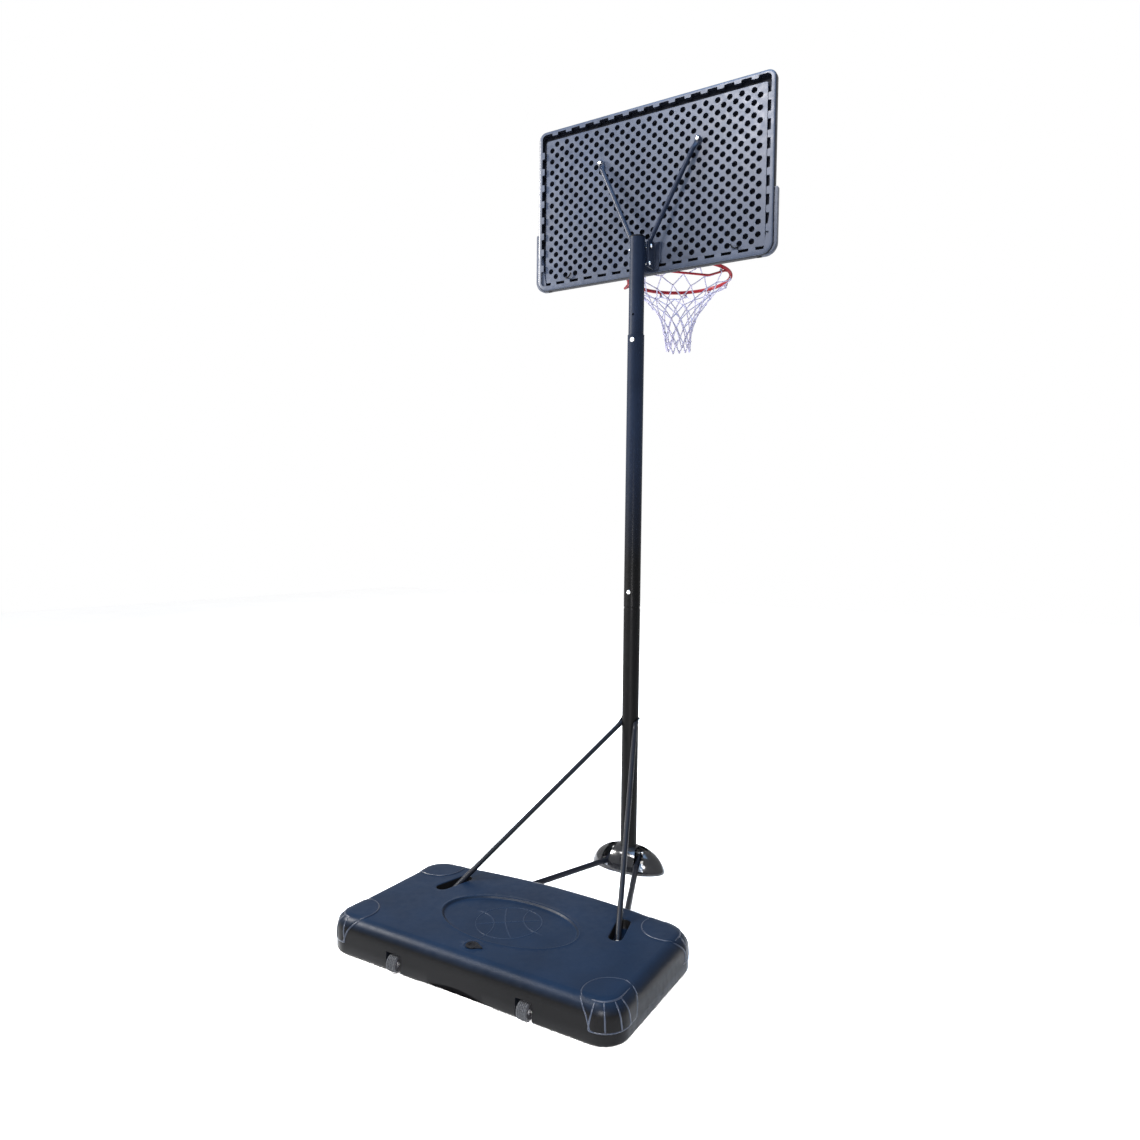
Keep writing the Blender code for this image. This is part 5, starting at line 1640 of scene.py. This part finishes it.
def rim():
    build = Build()
    build.tube([ring_point(TAU * k / 144) for k in range(144)], RING_ROD, 20, closed=True)
    plate_rear = BOARD_FRONT - GAP
    plate_front = plate_rear - 0.003
    plan = round_rect(0.066, 2.545, 2.645, 0.012, 6)
    rings = []
    for inset, y in ((0.0006, plate_rear), (0.0, plate_rear - 0.0005), (0.0, plate_front + 0.0005),
                     (0.0006, plate_front)):
        rings.append([(x * (1 - inset / 0.066), y, z + (inset if z < 2.59 else -inset)) for x, z in plan])
    build.loft(rings)
    near_y = RING_Y + RING_R - 0.013
    arm = [(0.050, plate_front + 0.0010), (0.056, plate_front - 0.012), (0.062, near_y + 0.035),
           (0.072, near_y + 0.014), (0.080, near_y)]
    notch = [(-0.056 + 0.112 * (k / 12), near_y + 0.004 + 0.012 * math.sin(math.pi * k / 12))
             for k in range(13)]
    plan = arm + [(x, y) for x, y in reversed(notch)] + [(-x, y) for x, y in reversed(arm)]
    build.loft([[(x, y, RING_Z + z) for x, y in plan] for z in (-0.0016, -0.0013, 0.0013, 0.0016)])
    for sx in (1, -1):
        for rise in (-0.0022, 0.0022):
            weld_lump(build, (sx * 0.030, plate_front - 0.0008, RING_Z + rise), (1, 0, 0), 0.0030, 0.034)
        root = Vector((sx * 0.054, plate_front + 0.0005, 2.556))
        knee = Vector((sx * 0.206, -0.289, 2.560))
        a = math.radians(4)
        weld = Vector((sx * (RING_R - 0.001) * math.cos(a), RING_Y + RING_R * math.sin(a), RING_Z - 0.006))
        into, out = (knee - root).normalized(), (weld - knee).normalized()
        path = [root + into * 0.004 * k for k in range(3)] + [knee - into * 0.05]
        path += [knee - into * 0.016 * (1 - n / 8) ** 2 + out * 0.016 * (n / 8) ** 2 for n in range(9)]
        path += [weld - out * 0.03, weld - out * 0.012, weld]
        build.tube(path, 0.0048, 14)
        weld_lump(build, weld + Vector((0, 0, -0.001)), (0, 1, 0.1), 0.0058, 0.016)
        weld_lump(build, root + Vector((0, -0.002, 0)), (1, 0, 0), 0.0050, 0.012)
        for k in range(5):
            angle = math.pi / 2 - sx * math.radians(6 + 3.1 * k)
            run = (-math.sin(angle), math.cos(angle), 0)
            weld_lump(build, ring_point(angle, -0.007, -0.003), run, 0.0024, 0.013)
    for k in range(HOOKS):
        a = hook_angle(k)
        out = Vector((math.cos(a), math.sin(a), 0))
        side = Vector((-math.sin(a), math.cos(a), 0))
        root = ring_point(a)
        shape = ((0.0050, -0.0050, 0.0), (0.0060, -0.0110, 0.0), (0.0040, -0.0165, 0.0010),
                 (-0.0010, -0.0190, 0.0022), (-0.0062, -0.0165, 0.0036), (-0.0072, -0.0115, 0.0046))
        path = [root + out * o + Vector((0, 0, z)) + side * s for o, z, s in shape]
        path = smooth_path(path, 5)
        build.tube(path, [0.0021] * (len(path) - 1) + [0.0014], 10)
        weld_lump(build, root + out * 0.0058 + Vector((0, 0, -0.0062)), side, 0.0028, 0.010)
    build.make("rim_weldment", [mat_rim], "head", ("rim",), angle=40)


# ------------------------------------------------------------------ net
NET_RIM_DROP = 0.0165
NET_KNOTS = ((0.044, 0.192), (0.084, 0.156), (0.125, 0.124), (0.167, 0.097), (0.209, 0.078), (0.250, 0.066),
             (0.290, 0.060))
NET_TIP = (0.336, 0.056)
CORD_R = 0.0026


def net():
    """Twelve loops of knotted cord that hang from the hooks and draw in towards the bottom."""
    rng = np.random.default_rng(7)
    build = Build()
    knots = []
    for row, (drop, radius) in enumerate(NET_KNOTS):
        ring = []
        for k in range(HOOKS):
            angle = TAU * (k + 0.5 + (row + 1) / 2) / HOOKS + float(rng.normal(0, 0.020))
            r = radius * (1 + float(rng.normal(0, 0.018)))
            z = -drop + float(rng.normal(0, 0.0035))
            ring.append(Vector((r * math.cos(angle), RING_Y + r * math.sin(angle), RING_Z + z)))
        knots.append(ring)

    def axis_out(p):
        return Vector((p.x, p.y - RING_Y, 0)).normalized()

    def cord_run(a, b, bow, sag):
        """A cord between two knots, bowed outward a little and hanging slightly."""
        points = []
        steps = 8
        for n in range(steps + 1):
            t = n / steps
            p = a.lerp(b, t)
            hump = math.sin(math.pi * t)
            p = p + axis_out(p) * (bow * hump) + Vector((0, 0, -sag * hump))
            points.append(p)
        return points

    def twist_tube(points):
        """A laid cord: its section has three lobes that turn along the way."""
        pts = [points[0]]
        for a, b in zip(points, points[1:]):
            cuts = max(int((b - a).length / 0.0035), 1)
            pts += [a.lerp(b, (n + 1) / cuts) for n in range(cuts)]
        rings = tube_rings(pts, 1.0, 9)
        out = []
        for k, ring in enumerate(rings):
            turn_k = k * 0.62
            row = []
            for n, p in enumerate(ring):
                lobe = 1 + 0.15 * math.cos(3 * (TAU * n / 9 + turn_k))
                row.append(pts[k] + (p - pts[k]) * CORD_R * lobe)
            out.append(row)
        build.loft(out)

    def knot(at, size=0.0046):
        """Two crossing wraps of cord round the joint."""
        out = axis_out(at)
        side = Vector((-out.y, out.x, 0))
        up = Vector((0, 0, 1))
        for tilt_k, lift in ((0.55, 0.0012), (-0.55, -0.0012)):
            a1 = (side * math.cos(tilt_k) + up * math.sin(tilt_k)).normalized()
            loop = []
            for n in range(12):
                b = TAU * n / 12
                loop.append(at + a1 * (size * 0.80 * math.cos(b)) + out * (size * 0.62 * math.sin(b))
                            + up * (lift + 0.0006 * math.cos(2 * b)))
            build.tube(loop, CORD_R * 0.92, 8, closed=True)

    for k in range(HOOKS):
        a = hook_angle(k)
        hang = ring_point(a, -0.0012, -NET_RIM_DROP)
        # the loop over the hook, and the two legs down to the first knots
        first = knots[0][k]
        prior = knots[0][k - 1]
        for end, way in ((first, 1), (prior, -1)):
            side = Vector((-math.sin(a), math.cos(a), 0)) * way
            start = hang + side * 0.0022 + Vector((0, 0, 0.0030))
            leg = [start, hang + side * 0.0052 + Vector((0, 0, -0.0035))]
            leg += cord_run(hang + side * 0.006 + Vector((0, 0, -0.010)), end, -0.004, 0.004)[1:]
            twist_tube(smooth_path(leg, 2))
        top_loop = []
        for n in range(9):
            b = math.pi * n / 8
            top_loop.append(hang + Vector((-math.sin(a), math.cos(a), 0)) * (0.0036 * math.cos(b))
                            + Vector((0, 0, 0.0010 + 0.0038 * math.sin(b))))
        build.tube(top_loop, CORD_R, 9)
        knot(hang + Vector((0, 0, -0.0075)), 0.0050)
    for row in range(len(NET_KNOTS) - 1):
        for k in range(HOOKS):
            here = knots[row][k]
            for other in (knots[row + 1][k], knots[row + 1][k - 1]):
                bow = -0.0015 if row < 2 else 0.0
                twist_tube(cord_run(here, other, bow + float(rng.normal(0, 0.0012)), 0.0012))
    for ring in knots:
        for p in ring:
            knot(p)
    # hanging tips
    last = knots[-1]
    for k in range(HOOKS):
        a, b = last[k], last[(k + 1) % HOOKS]
        mid = (a + b) / 2
        out = axis_out(mid)
        tip = Vector((out.x * NET_TIP[1], RING_Y + out.y * NET_TIP[1],
                      RING_Z - NET_TIP[0] + float(rng.normal(0, 0.004))))
        side = (b - a).normalized()
        path = [a, a.lerp(tip, 0.45) - side * 0.0010, tip - side * 0.0045 + Vector((0, 0, 0.008)), tip,
                tip + side * 0.0045 + Vector((0, 0, 0.008)), b.lerp(tip, 0.45) + side * 0.0010, b]
        twist_tube(smooth_path(path, 4))
        knot(tip + Vector((0, 0, 0.0085)), 0.0042)
    build.make("net_cords", [mat_net], "head", ("net",), angle=60)


board()
bracket()
rim()
net()
